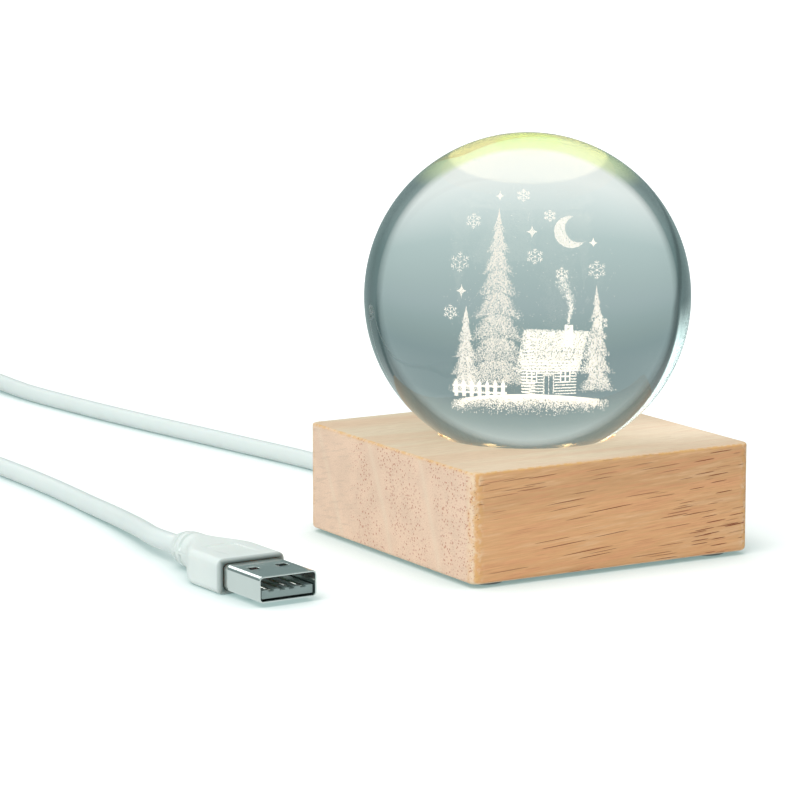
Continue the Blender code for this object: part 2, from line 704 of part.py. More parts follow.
def coil_point(turn):
    """A point of the coil's centre line, counted in turns from where the lead comes in."""
    angle = 2 * math.pi * turn
    radius = coil_radius(turn)
    return (COIL_X + radius * math.cos(angle), COIL_Y + radius * math.sin(angle), coil_height(turn))


def coil_line():
    """The whole centre line, with a straight end of one diameter at each side."""
    count = round(COIL_TURNS * COIL_LOOP_POINTS)
    line = [coil_point(COIL_TURNS * i / count) for i in range(count + 1)]
    first, last = line[0], line[-1]
    before = (first[0], first[1] - CORD_DIAMETER, first[2])
    after = (last[0], last[1] - CORD_DIAMETER, last[2])
    return [before, *line, after]


def least_gap(line, diameter):
    """The least free space between stretches of a tube that are more than a half loop apart."""
    line = np.array(line)
    apart = COIL_LOOP_POINTS // 2
    starts = range(len(line) - apart)
    least = min(np.linalg.norm(line[i + apart :] - line[i], axis=1).min() for i in starts)
    return float(least) - diameter


def make_coil():
    """The coil of the put-away lead and the ties round it."""
    line = coil_line()
    tube("cord_coil", line, CORD_DIAMETER, CORD_WHITE, sides_setting=1)
    print(f"least gap of the coil to itself: {1000 * least_gap(line, CORD_DIAMETER):.2f} mm")
    for name, quarter in (("coil_tie_1", 3), ("coil_tie_2", 1)):
        make_coil_tie(name, quarter)
    return line


def make_coil_tie(name, quarter):
    """A flat band round all the loops that pass one quarter of the coil."""
    loops = [quarter / 4 + i for i in range(math.ceil(COIL_TURNS)) if quarter / 4 + i < COIL_TURNS]
    low = min(coil_radius(t) for t in loops) - CORD_RADIUS - COIL_TIE_GAP
    high = max(coil_radius(t) for t in loops) + CORD_RADIUS + COIL_TIE_GAP
    inside = ((high - low) / 2, (COIL_LAYER + CORD_DIAMETER + FIT + COIL_TIE_GAP) / 2)
    outer = [half + COIL_TIE_THICKNESS for half in inside]
    curve = bpy.data.curves.new(name, "CURVE")
    curve.dimensions = "2D"
    curve.fill_mode = "BOTH"
    curve.extrude = COIL_TIE_WIDTH / 2
    for half, corner in ((outer, CORD_RADIUS + COIL_TIE_THICKNESS), (inside, CORD_RADIUS)):
        spline = curve.splines.new("POLY")
        outline = rounded_rectangle(*half, corner)
        spline.points.add(len(outline) - 1)
        for point, (x, y) in zip(spline.points, outline):
            point.co = (x, y, 0, 1)
        spline.use_cyclic_u = True
    tie = object_of(name, curve, TIE_WHITE)
    angle = math.radians(90 * quarter)
    middle = (low + high) / 2
    tie.location = (COIL_X + middle * math.cos(angle), COIL_Y + middle * math.sin(angle), outer[1])
    tie.rotation_euler = (math.radians(90), 0, angle)


def make_free_lead(line):
    """The two stretches of the lead on the floor, up to the faces that they meet."""
    step = TUBE_STEP * CORD_DIAMETER
    start = (0, BACK_FACE + FIT, CORD_HOLE_HEIGHT)
    into_coil = (line[0][0], line[0][1] - FIT, line[0][2])
    lead = smooth_route([start, *LEAD_ROUTE, into_coil], step)
    tube("cord_lead", lead, CORD_DIAMETER, CORD_WHITE)
    from_coil = (line[-1][0], line[-1][1] - FIT, line[-1][2])
    entry = PLUG_FRAME.matrix_world @ Vector((0, MOULDING_LENGTH + FIT, PLUG_AXIS_HEIGHT))
    tail = smooth_route([from_coil, *TAIL_ROUTE, tuple(entry)], step)
    tube("cord_tail", tail, CORD_DIAMETER, CORD_WHITE)
    total = length_of(lead) + length_of(line) + length_of(tail)
    print(f"lead from the base to the plug: {total:.3f} m")


def moulding_sections():
    """(place along Y, half width, half height, corner) of the plug's moulding, from the front to the lead."""
    wide, high = MOULDING_WIDTH / 2, MOULDING_HEIGHT / 2
    sections = []
    for share in FRONT_ROUND_SHARES:
        inset = MOULDING_FRONT_ROUND * (1 - math.sqrt(1 - (1 - share) ** 2))
        place = MOULDING_FRONT_ROUND * share
        sections.append((place, wide - inset, high - inset, MOULDING_CORNER - inset / 2))
    for step in range(TAPER_STEPS + 1):
        share = step / TAPER_STEPS
        blend = share * share * (3 - 2 * share)
        half_width = wide + (BOOT_RADIUS - wide) * blend
        half_height = high + (BOOT_RADIUS - high) * blend
        corner = MOULDING_CORNER + (BOOT_RADIUS - MOULDING_CORNER) * blend
        sections.append((MOULDING_STRAIGHT + MOULDING_TAPER * share, half_width, half_height, corner))
    boot_start = MOULDING_STRAIGHT + MOULDING_TAPER
    for groove in range(RIB_GROOVES):
        middle = RIB_GROOVE_FIRST + groove * RIB_GROOVE_PITCH
        for across, share in ((-0.5, 0), (-0.25, 1), (0.25, 1), (0.5, 0)):
            place = middle + RIB_GROOVE_WIDTH * across
            radius = boot_radius(place) - RIB_GROOVE_DEPTH * share
            sections.append((boot_start + place, radius, radius, radius))
    for place, inset in ((BOOT_LENGTH - BOOT_LIP, 0), (BOOT_LENGTH, BOOT_LIP)):
        radius = boot_radius(place) - inset
        sections.append((boot_start + place, radius, radius, radius))
    return sections


def boot_radius(place):
    """The boot keeps its thickness at first and rounds off towards the lead."""
    return BOOT_RADIUS + (BOOT_TIP_RADIUS - BOOT_RADIUS) * (place / BOOT_LENGTH) ** 3


def make_moulding():
    """The plug's moulded body: a loft from a rounded box to a round ribbed boot, with the shell's socket."""
    bm = bmesh.new()
    rings = []
    for y, half_width, half_height, corner in moulding_sections():
        outline = rounded_rectangle(half_width, half_height, corner, PLUG_AXIS_HEIGHT)
        rings.append([bm.verts.new((x, y, z)) for x, z in outline])
    for first, second in zip(rings, rings[1:]):
        for i in range(len(first)):
            j = (i + 1) % len(first)
            bm.faces.new((first[i], first[j], second[j], second[i]))
    bm.faces.new(rings[0])
    bm.faces.new(rings[-1])
    moulding = object_of("plug_housing", mesh_of("plug_housing", bm), PLUG_WHITE, PLUG_FRAME)
    half = (SHELL_WIDTH / 2 + FIT, SHELL_HEIGHT / 2 + FIT)
    outline = rounded_rectangle(*half, SHELL_CORNER + FIT, PLUG_AXIS_HEIGHT, steps=3)
    cut(moulding, prism("socket_cutter", outline, -FIT, SHELL_IN + FIT, PLUG_WHITE, PLUG_FRAME))


def make_shell():
    """The stamped metal shell: a thin open box section with two square ports on each wide side."""
    outline = rounded_rectangle(SHELL_WIDTH / 2, SHELL_HEIGHT / 2, SHELL_CORNER, PLUG_AXIS_HEIGHT, steps=3)
    bm = bmesh.new()
    ends = [[bm.verts.new((x, y, z)) for x, z in outline] for y in (-SHELL_OUT, SHELL_IN)]
    for i in range(len(outline)):
        j = (i + 1) % len(outline)
        bm.faces.new((ends[0][i], ends[0][j], ends[1][j], ends[1][i]))
    shell = object_of("plug_shell", mesh_of("plug_shell", bm), SHELL_METAL, PLUG_FRAME)
    wall = shell.modifiers.new("sheet", "SOLIDIFY")
    wall.thickness = SHELL_WALL
    wall.offset = -1
    wall.use_even_offset = True
    size = (PORT_WIDTH, PORT_LENGTH, 4 * SHELL_WALL)
    for face, height in (("bottom", -SHELL_HEIGHT / 2), ("top", SHELL_HEIGHT / 2)):
        for side, shift in (("left", -PORT_SPACING / 2), ("right", PORT_SPACING / 2)):
            place = (shift, PORT_SETBACK - SHELL_OUT, PLUG_AXIS_HEIGHT + height)
            cut(shell, block(f"port_cutter_{face}_{side}", size, place, SHELL_METAL, parent=PLUG_FRAME))


def make_tongue():
    """The insulator inside the shell, with a channel for each contact, and the four contacts."""
    half = SHELL_WIDTH / 2 - SHELL_WALL - SMALL_FIT
    floor = TONGUE_TOP - CONTACT_THICKNESS - SMALL_FIT
    slot = CONTACT_WIDTH / 2 + SMALL_FIT
    contacts = (
        (CONTACT_OUTER_PLACE, CONTACT_SETBACK_OUTER),
        (CONTACT_INNER_PLACE, CONTACT_SETBACK_INNER),
        (-CONTACT_INNER_PLACE, CONTACT_SETBACK_INNER),
        (-CONTACT_OUTER_PLACE, CONTACT_SETBACK_OUTER),
    )
    outline = [(-half, TONGUE_BOTTOM), (half, TONGUE_BOTTOM), (half, TONGUE_TOP)]
    for place, _ in contacts:
        outline += [(place + slot, TONGUE_TOP), (place + slot, floor)]
        outline += [(place - slot, floor), (place - slot, TONGUE_TOP)]
    outline.append((-half, TONGUE_TOP))
    front = -SHELL_OUT + TONGUE_SETBACK
    back = SHELL_IN - SMALL_FIT
    prism("plug_tongue", outline, front, back, TONGUE_GREY, PLUG_FRAME)
    for i, (place, setback) in enumerate(contacts):
        start = front + setback
        size = (CONTACT_WIDTH, back - start, CONTACT_THICKNESS)
        middle = (place, (start + back) / 2, TONGUE_TOP - CONTACT_THICKNESS / 2)
        block(f"plug_contact_{i + 1}", size, middle, CONTACT_GOLD, CONTACT_THICKNESS / 4, 1, PLUG_FRAME)


clear_scene()
LAMP = collection_named("crystal_ball_lamp")
CUTTERS = collection_named("cutters")

WOOD = finish_named("light wood", (0.60, 0.40, 0.24), 0.55)
GLASS = finish_named("clear crystal", (0.97, 0.99, 0.99), 0.02, transmission=1.0)
FROSTED = finish_named("frosted window", (0.98, 0.95, 0.80), 0.45, transmission=0.4, glow=0.8)
WHITE_PLASTIC = finish_named("white plastic", (0.80, 0.80, 0.78), 0.40)
BOARD_WHITE = finish_named("white circuit board", (0.75, 0.78, 0.74), 0.45)
LED_YELLOW = finish_named("LED phosphor", (0.95, 0.85, 0.30), 0.35, glow=2.0)
CHIP_BLACK = finish_named("chip body", (0.03, 0.03, 0.03), 0.40)
STEEL = finish_named("zinc-plated steel", (0.60, 0.61, 0.62), 0.30, metallic=1.0)
RUBBER = finish_named("clear grey rubber", (0.35, 0.35, 0.36), 0.70)
CORD_WHITE = finish_named("white lead jacket", (0.78, 0.82, 0.80), 0.45)
TIE_WHITE = finish_named("white tie", (0.80, 0.81, 0.80), 0.50)
WIRE_RED = finish_named("red wire", (0.55, 0.03, 0.02), 0.45)
WIRE_BLACK = finish_named("black wire", (0.02, 0.02, 0.02), 0.45)
PLUG_WHITE = finish_named("white plug moulding", (0.74, 0.80, 0.77), 0.42)
SHELL_METAL = finish_named("nickel-plated shell", (0.55, 0.58, 0.58), 0.28, metallic=1.0)
TONGUE_GREY = finish_named("grey insulator", (0.25, 0.28, 0.27), 0.45)
CONTACT_GOLD = finish_named("plated contacts", (0.75, 0.68, 0.50), 0.25, metallic=1.0)

PLUG_FRAME = bpy.data.objects.new("plug_frame", None)
LAMP.objects.link(PLUG_FRAME)
PLUG_FRAME.location = (PLUG_X, PLUG_Y, 0)
PLUG_FRAME.rotation_euler = (0, 0, PLUG_TURN)
bpy.context.view_layer.update()

make_wood_base()
make_ball()
make_light()
make_board_parts()
make_screws()
make_cover()
make_pads()
make_inner_lead()
make_strain_tie()
coil = make_coil()
make_free_lead(coil)
make_moulding()
make_shell()
make_tongue()
bpy.context.view_layer.update()
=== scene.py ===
"""The crystal ball lamp: a clear glass ball on a light wooden base, with its lead and its plug.

Sizes are in metres and +Z is up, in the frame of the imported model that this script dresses.
"""

import math

import bmesh
import bpy
import numpy as np
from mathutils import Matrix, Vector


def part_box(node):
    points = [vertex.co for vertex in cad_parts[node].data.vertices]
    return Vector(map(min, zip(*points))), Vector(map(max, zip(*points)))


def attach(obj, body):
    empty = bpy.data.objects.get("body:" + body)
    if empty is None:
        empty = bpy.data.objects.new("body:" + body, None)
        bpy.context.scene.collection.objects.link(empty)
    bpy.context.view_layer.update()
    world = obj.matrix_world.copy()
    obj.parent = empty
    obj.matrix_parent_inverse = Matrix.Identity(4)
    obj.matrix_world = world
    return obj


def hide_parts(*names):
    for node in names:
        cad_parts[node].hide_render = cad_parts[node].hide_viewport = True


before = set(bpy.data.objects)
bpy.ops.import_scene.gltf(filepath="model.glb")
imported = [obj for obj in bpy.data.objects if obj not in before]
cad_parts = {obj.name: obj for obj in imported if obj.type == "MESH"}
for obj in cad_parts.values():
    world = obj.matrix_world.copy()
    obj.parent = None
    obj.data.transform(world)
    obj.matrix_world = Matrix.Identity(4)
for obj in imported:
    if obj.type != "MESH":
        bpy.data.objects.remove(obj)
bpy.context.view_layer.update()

bl_info = {
    "name": "Crystal ball lamp",
    "version": (1, 0, 0),
    "blender": (4, 5, 0),
    "location": "3D View > Sidebar > Lamp",
    "description": "Builds a glass ball lamp on a wooden base, with its lead and its plug",
    "category": "Object",
}

MM = 0.001
WOOD_LOW, WOOD_HIGH = (np.array(corner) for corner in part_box("wood_base"))
BALL_LOW, BALL_HIGH = (np.array(corner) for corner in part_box("crystal_ball"))
BALL_CENTRE = (BALL_LOW + BALL_HIGH) / 2
BALL_RADIUS = float(BALL_HIGH[2] - BALL_LOW[2]) / 2

# The base's bore: its mouth, the radii down the ball's seat in millimetres, and then its steps as
# (radius, height) in millimetres: the holder's pocket, the wire space and the cover's recess
MOUTH_RADIUS = 0.01796
SEAT_RADII = (14.0, 12.75, 11.5)
BORE_STEPS = ((11.5, 17.3), (13.5, 17.3), (13.5, 14.5), (19.0, 14.5), (19.0, 2.7), (24.3, 2.7))

# The plug's own frame: the front of its moulding at Y 0, the metal shell towards -Y
PLUG_PLACE = np.array((-0.0697, -0.0120, 0.0))
PLUG_TURN = math.radians(2.0)
PLUG_AXIS = 0.0035
SHELL_HALF = (0.0060, 0.00225)
SHELL_FRONT_MM = -13.6

# The plug's moulding: a straight body, a taper, and a nearly round boot whose axis is a little higher
BODY_HALF, BODY_CORNER = (0.0074, 0.0035), 0.0014
TAPER_FROM, TAPER_TO = 0.0110, 0.0212
BOOT_FROM, BOOT_TO, BOOT_TIP = 0.0213, 0.0273, 0.0276
BOOT_RADIUS, BOOT_OVAL, BOOT_LIFT = 0.0035, 0.0002, 0.0004
GROOVES, GROOVE_HALF, GROOVE_DEPTH = (0.0226, 0.0251), 0.00058, 0.00080
PANEL_FROM, PANEL_TO, PANEL_DEPTH = 0.0033, 0.0126, 0.00030
SEAM_DEPTH = 0.00006
HOLE_RADIUS, HOLE_DEPTH = 0.00203, 0.0015

# The lead, by the same points as its solids: from the base to the coil, and from the coil to the plug
CORD_START = (0.0, 0.0325, 0.0069)
LEAD_ROUTE = MM * np.array(
    (
        (0, 32.8, 6.9), (0, 40, 6.8), (0.5, 52, 5.2), (1.2, 66, 3), (1, 80, 2), (-0.5, 94, 1.95), (-3.6, 113, 1.95),
        (-6.8, 131.7, 1.95), (-10.1, 151, 1.95), (-13.2, 171.6, 1.95), (-15.2, 188, 1.95), (-16.8, 204, 2),
        (-17.4, 220, 2.35), (-17.5, 234, 2.7),
    )
)  # fmt: skip
TAIL_ROUTE = MM * np.array(
    (
        (-70.5, 234, 6.5), (-70, 220, 4.2), (-68.8, 205, 2.35), (-67, 185, 1.95), (-64.8, 160, 1.95),
        (-63.3, 135, 1.95), (-62.8, 112, 1.95), (-63, 95, 1.95), (-63.7, 80, 1.95), (-64.5, 70, 2.05),
        (-66.2, 53, 2.5), (-68.5, 38, 3.1), (-70.3, 28, 3.42),
    )
)  # fmt: skip
COIL_MIDDLE = (-0.0440, 0.2460)
COIL_TURNS = 4.5
COIL_RADIUS, COIL_WIDENING = 0.01615, 0.0046
COIL_HEIGHT, COIL_STEP = 0.00285, 0.0044


def length(name, default, description):
    """A length that the user may change."""
    return bpy.props.FloatProperty(name=name, description=description, default=default, unit="LENGTH", precision=5)


def colour(name, default, description):
    """A colour that the user may change, in linear values."""
    return bpy.props.FloatVectorProperty(
        name=name, description=description, default=default, subtype="COLOR", size=3, min=0.0, max=1.0
    )


class LampSizes(bpy.types.PropertyGroup):
    """Sizes of the pieces that are dressed here."""

    corner_round: length("Corner round", 0.0020, "Radius of the base's upright edges")
    top_round: length("Top round", 0.0005, "Radius of the edges round the top of the base")
    bottom_round: length("Bottom round", 0.0008, "Radius of the edges round the underside of the base")
    cord_diameter: length("Lead diameter", 0.0039, "Outside diameter of the lead's jacket")
    dot_radius: length("Dot radius", 0.000055, "Radius of the engraved dots in the glass")
    moulding_front_round: length("Moulding round", 0.0007, "Radius of the front edge of the plug's moulding")
    shell_wall: length("Shell wall", 0.0003, "Thickness of the plug's metal shell")
    key_distance: length("Light distance", 1.25, "Distance of the soft studio light from the lamp")


class LampColours(bpy.types.PropertyGroup):
    """Colours of the lamp's finishes."""

    wood_pale: colour("Pale wood", (0.86, 0.73, 0.55), "The palest grain of the top")
    wood_tan: colour("Tan wood", (0.83, 0.63, 0.45), "The darker grain of the top")
    wood_side: colour("Side wood", (0.83, 0.47, 0.23), "The grain of the long sides")
    wood_end: colour("End grain", (0.92, 0.69, 0.53), "The end grain")
    wood_pore: colour("Pores", (0.26, 0.055, 0.018), "The open pores")
    wood_edge: colour("Wood edge", (0.74, 0.42, 0.13), "The golden tone of the sanded edges")
    jacket: colour("Lead jacket", (0.76, 0.83, 0.81), "The white jacket of the lead")
    moulding: colour("Plug moulding", (0.755, 0.815, 0.79), "The white moulding of the plug")
    nickel: colour("Nickel", (0.86, 0.90, 0.88), "The plated shell of the plug")
    engraving: colour("Engraving", (1.0, 0.93, 0.81), "The lit dots in the glass")
    window: colour("Lit window", (1.0, 0.96, 0.80), "The lit window under the ball")


def sizes():
    """The lengths that the panel shows."""
    return bpy.context.scene.lamp_sizes


def colours():
    """The colours that the panel shows."""
    return bpy.context.scene.lamp_colours


# Points and meshes from arrays


def points_at(x, y, z):
    """Points from their coordinates, each of which is an array or one number for all."""
    return np.stack(np.broadcast_arrays(x, y, z), axis=-1)


def turned(points, angle):
    """Points turned round the upright axis."""
    flat = (points[..., 0] + 1j * points[..., 1]) * np.exp(1j * angle)
    return points_at(flat.real, flat.imag, points[..., 2])


def smooth_step(share):
    """A rise from 0 to 1 that starts and ends level: three times the square, less twice the cube."""
    share = np.clip(share, 0, 1)
    return share**2 * (3 - 2 * share)


def mesh_from(name, points, *face_sets):
    """A smooth mesh from an array of points and arrays of faces whose numbers count those points."""
    mesh = bpy.data.meshes.new(name)
    points = np.ascontiguousarray(points, np.float32).reshape(-1, 3)
    corners = np.concatenate([faces.ravel() for faces in face_sets]).astype(np.int32)
    counts = np.concatenate([np.full(len(faces), faces.shape[1]) for faces in face_sets])
    starts = np.concatenate([[0], np.cumsum(counts)[:-1]]).astype(np.int32)
    mesh.vertices.add(len(points))
    mesh.vertices.foreach_set("co", points.ravel())
    mesh.loops.add(len(corners))
    mesh.loops.foreach_set("vertex_index", corners)
    mesh.polygons.add(len(starts))
    mesh.polygons.foreach_set("loop_start", starts)
    mesh.update(calc_edges=True)
    mesh.validate()
    mesh.shade_smooth()
    return mesh


def grid_faces(rows, columns, round_rows=False, first=0):
    """The quads between neighbours of a grid of rings, whose last ring may meet its first again."""
    row, column = np.mgrid[: rows if round_rows else rows - 1, :columns]
    next_row, next_column = (row + 1) % rows, (column + 1) % columns
    corners = ((row, column), (row, next_column), (next_row, next_column), (next_row, column))
    return np.stack([r * columns + c for r, c in corners], axis=-1).reshape(-1, 4) + first


def fan_faces(tip, start, columns, outwards=True):
    """The triangles from one point to each side of a ring of points."""
    ring = np.arange(columns)
    sides = np.stack([ring, (ring + 1) % columns], axis=1) + start
    return np.column_stack([np.full(columns, tip), sides if outwards else sides[:, ::-1]])


def closed(*grids):
    """Points, quads and triangles of rods made of rings, each closed at both ends by a fan round a middle."""
    points, quads, fans, first = [], [], [], 0
    for grid in grids:
        rows, columns = grid.shape[:2]
        count = rows * columns
        points += [grid.reshape(-1, 3), grid[:1].mean(axis=1), grid[-1:].mean(axis=1)]
        quads.append(grid_faces(rows, columns, first=first))
        fans.append(fan_faces(first + count, first, columns, outwards=False))
        fans.append(fan_faces(first + count + 1, first + count - columns, columns))
        first += count + 2
    return np.concatenate(points), np.concatenate(quads), np.concatenate(fans)


def turned_out(mesh):
    """Point every face of a closed mesh outwards."""
    bm = bmesh.new()
    bm.from_mesh(mesh)
    bmesh.ops.recalc_face_normals(bm, faces=bm.faces)
    bm.to_mesh(mesh)
    bm.free()
    return mesh


def in_scene(name, data):
    """A new object at the origin."""
    made = bpy.data.objects.new(name, data)
    bpy.context.scene.collection.objects.link(made)
    return made


def hidden(thing, *rays):
    """Hide an object from some kinds of rays."""
    for ray in rays:
        setattr(thing, f"visible_{ray}", False)


def aimed(thing, place, target):
    """Put a camera or a light at a place and point it at another."""
    way = np.array(target) - np.array(place)
    thing.location = place
    thing.rotation_euler = (math.atan2(math.hypot(*way[:2]), -way[2]), 0, math.atan2(-way[0], way[1]))


def placed(name, data, material):
    """An object at the origin that shows a mesh or a curve."""
    data.materials.append(material)
    return in_scene(name, data)


def sharpened(mesh, degrees):
    """Mark the edges that turn by more than an angle as sharp."""
    mesh.set_sharp_from_angle(angle=math.radians(degrees))


def piece(name, data, material, body, slot, *stands_for, sharp=None):
    """A piece that rides on a body, with the solids that it stands for. The slot is not used."""
    made = placed(name, data, material)
    if sharp is not None:
        sharpened(data, sharp)
    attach(made, body)
    if stands_for:
        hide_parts(*stands_for)
    return made


def modified(obj, kind, **settings):
    """Replace a piece's mesh by what one modifier makes of it."""
    modifier = obj.modifiers.new(kind.lower(), kind)
    for name, value in settings.items():
        setattr(modifier, name, value)
    bpy.context.view_layer.update()
    graph = bpy.context.evaluated_depsgraph_get()
    made = bpy.data.meshes.new_from_object(obj.evaluated_get(graph))
    obj.modifiers.clear()
    obj.data = made


def rounded_outline(half_width, half_height, corner, flats, corner_steps):
    """A rounded rectangle, anticlockwise from the right: each point and the outward direction there.

    Each quarter is an arc round the corner's middle, then the flat up to the next corner. flats
    gives the steps along the upright sides and along the level sides, as a count or as places
    from 0 to 1.
    """
    upright, across = (np.linspace(0, 1, n + 1) if isinstance(n, int) else np.asarray(n) for n in flats)
    arc = np.linspace(0, 1, corner_steps + 1)
    points, normals = [], []
    wide, high = half_width - corner, half_height - corner
    quarters = ((1, 1, wide, across), (-1, 1, high, upright), (-1, -1, wide, across), (1, -1, high, upright))
    for quarter, (sign_x, sign_y, run, share) in enumerate(quarters):
        here = sign_x * wide + 1j * sign_y * high
        turn = np.exp(0.5j * math.pi * (quarter + arc))
        flat = here + corner * turn[-1] + turn[-1] * 1j * 2 * run * share[1:-1]
        points += [here + corner * turn, flat]
        normals += [turn, np.full(len(flat), turn[-1])]
    return np.concatenate(points), np.concatenate(normals)


def rod_grid(profile, steps, centre=(0.0, 0.0), along="Z"):
    """Rings round an axis: each (place along the axis, radius) of the profile gives one ring."""
    places, radii = np.array(profile, float).T[..., None]
    flat = radii * np.exp(2j * math.pi * np.arange(steps) / steps)
    across, other = flat.real + centre[0], flat.imag + centre[1]
    return points_at(across, other, places) if along == "Z" else points_at(across, places, other)


def ball_profile(polar, radius):
    """(height, radius) at each angle up from the lowest point of a ball round the glass ball's centre."""
    return np.stack([BALL_CENTRE[2] - radius * np.cos(polar), radius * np.sin(polar)], axis=-1)


# Materials from nodes


class Value:
    """An output of a node, with which sums can be written."""

    def __init__(self, nodes, socket):
        self.nodes, self.socket = nodes, socket

    def __add__(self, other):
        return self.nodes.math("ADD", self, other)

    def __sub__(self, other):
        return self.nodes.math("SUBTRACT", self, other)

    def __rsub__(self, other):
        return self.nodes.math("SUBTRACT", other, self)

    def __mul__(self, other):
        return self.nodes.math("MULTIPLY", self, other)

    def __abs__(self):
        return self.nodes.math("ABSOLUTE", self)


class Nodes:
    """A tree of nodes, with short calls that add a node and feed its inputs."""

    def __init__(self, tree):
        self.tree = tree

    def feed(self, socket, value):
        """Link a value or a node to an input, or set the input."""
        if isinstance(value, Value):
            self.tree.links.new(value.socket, socket)
        elif isinstance(value, bpy.types.Node):
            self.tree.links.new(value.outputs[0], socket)
        elif socket.type == "RGBA":
            socket.default_value = (*value[:3], 1.0)
        else:
            socket.default_value = value

    def node(self, kind, inputs=(), **settings):
        """A new node with its settings and its inputs."""
        made = self.tree.nodes.new("ShaderNode" + kind)
        for name, value in settings.items():
            setattr(made, name, value)
        for name, value in dict(inputs).items():
            self.feed(made.inputs[name], value)
        return made

    def value(self, kind, inputs=(), output=0, **settings):
        """One output of a new node."""
        return Value(self, self.node(kind, inputs, **settings).outputs[output])

    def math(self, operation, *values, clamp=False):
        """The result of one sum."""
        return self.value("Math", dict(enumerate(values)), operation=operation, use_clamp=clamp)

    def vector(self, operation, *values):
        """The result of one sum of vectors."""
        output = "Value" if operation == "LENGTH" else "Vector"
        return self.value("VectorMath", dict(enumerate(values)), output, operation=operation)

    def parts(self, vector):
        """The three parts of a vector."""
        return [Value(self, socket) for socket in self.node("SeparateXYZ", {0: vector}).outputs]

    def off_axis(self, vector, across=(1.0, 1.0, 0.0)):
        """The distance from an axis: the length across it."""
        return self.vector("LENGTH", self.vector("MULTIPLY", vector, across))

    def span(self, value, low, high, to_low=0.0, to_high=1.0, smooth=True):
        """A value taken from one range to another, held at its ends."""
        kind = "SMOOTHSTEP" if smooth else "LINEAR"
        return self.value("MapRange", {0: value, 1: low, 2: high, 3: to_low, 4: to_high}, interpolation_type=kind)

    def band(self, value, low, full, falling, high):
        """1 in a band of a value, with soft edges: it rises from low to full and ends from falling to high."""
        return self.span(value, low, full) * self.span(value, falling, high, 1.0, 0.0)

    def noise(self, vector, scale=1.0, detail=2.0, roughness=0.5, output="Fac"):
        """Soft noise about 0.5."""
        inputs = {"Vector": vector, "Scale": scale, "Detail": detail, "Roughness": roughness}
        return self.value("TexNoise", inputs, output)

    def mix(self, share, first, second, blend="MIX"):
        """A colour between two, or one laid over the other."""
        return self.value("Mix", {0: share, 6: first, 7: second}, 2, data_type="RGBA", blend_type=blend)

    def ramp(self, value, *stops):
        """A colour ramp through (place, colour) stops."""
        made = self.node("ValToRGB", {0: value})
        steps = made.color_ramp.elements
        while len(steps) < len(stops):
            steps.new(0.5)
        for step, (place, shade) in zip(steps, stops):
            step.position = place
            step.color = (*shade, 1.0)
        return Value(self, made.outputs[0])

    def ray(self, name):
        """What the light path says of a ray."""
        return self.value("LightPath", output=name)

    def mirrored(self):
        """1 for a ray that has been mirrored, and 0 before."""
        return self.math("MINIMUM", self.ray("Glossy Depth"), 1.0)

    def shown_rays(self):
        """1 for what the camera, metal or glass shows, and 0 for light that falls on a surface."""
        seen = self.math("ADD", self.ray("Is Camera Ray"), self.ray("Is Glossy Ray"), clamp=True)
        return self.math("ADD", seen, self.ray("Is Transmission Ray"), clamp=True)


class Recipe(Nodes):
    """A Principled material."""

    def __init__(self, name, **finish):
        self.material = bpy.data.materials.new(name)
        self.material.use_nodes = True
        super().__init__(self.material.node_tree)
        self.place = self.value("TexCoord", output="Object")
        self.shader = self.tree.nodes["Principled BSDF"]
        self.finish(**finish)

    def finish(self, **inputs):
        """Feed the shader's inputs, whose names are written with underscores."""
        for name, value in inputs.items():
            self.feed(self.shader.inputs[name.replace("_", " ").title().replace("Ior", "IOR")], value)
        return self.material

    def mapped(self, scale, rotation=(0, 0, 0), vector=None):
        """Object coordinates turned and then stretched by one scale for each axis."""
        vector = self.place if vector is None else vector
        if any(rotation):
            vector = self.value("Mapping", {"Vector": vector, "Rotation": rotation})
        return self.value("Mapping", {"Vector": vector, "Scale": scale})

    def streaks(self, scale, detail=3.0, roughness=0.6, rotation=(0, 0, 0), vector=None):
        """Noise that is stretched by one scale for each axis."""
        return self.noise(self.mapped(scale, rotation, vector), 1.0, detail, roughness)

    def coat(self, base, marks, rough, depth, painted_shade=None):
        """Finish with marks that vary the gloss and the relief, and the share and tone of a painted shade over the
        colour.
        """
        if painted_shade:
            share, tone = painted_shade(self)
            base = self.mix(share, base, tone)
        gloss = self.span(marks, 0.3, 0.7, *rough)
        relief = self.node("Bump", {"Height": marks, "Distance": depth, "Strength": 1.0})
        return self.finish(base_color=base, roughness=gloss, normal=relief)

    def show(self, shader):
        """Show another shader in place of the Principled one."""
        self.tree.nodes.remove(self.shader)
        self.feed(self.tree.nodes["Material Output"].inputs["Surface"], shader)
        return self.material


def shaded(shade, share):
    """A colour made lighter or darker by a share."""
    return tuple(min(1.0, c * share) for c in shade)


def plastic(name, shade, rough=(0.37, 0.48), grain=5200.0, depth=0.000006, painted_shade=None, **finish):
    """Moulded plastic: faint clouds in its colour and the fine even grain that a mould leaves."""
    recipe = Recipe(name, **finish)
    clouds = recipe.noise(recipe.place, 140.0, 3.0)
    fine = recipe.noise(recipe.place, grain, 2.0, 0.6)
    return recipe.coat(recipe.mix(clouds, shaded(shade, 0.965), shaded(shade, 1.03)), fine, rough, depth, painted_shade)


def plated(name, shade, rough=(0.10, 0.23), stretch=(500.0, 1700.0, 1700.0), depth=0.0000003, painted_shade=None):
    """Plated metal: long fine marks from rolling, with faint clouds in its colour and gloss."""
    recipe = Recipe(name, metallic=1.0)
    clouds = recipe.noise(recipe.place, 260.0, 2.0)
    return recipe.coat(recipe.mix(clouds, shaded(shade, 0.94), shade), recipe.streaks(stretch), rough, depth, painted_shade)


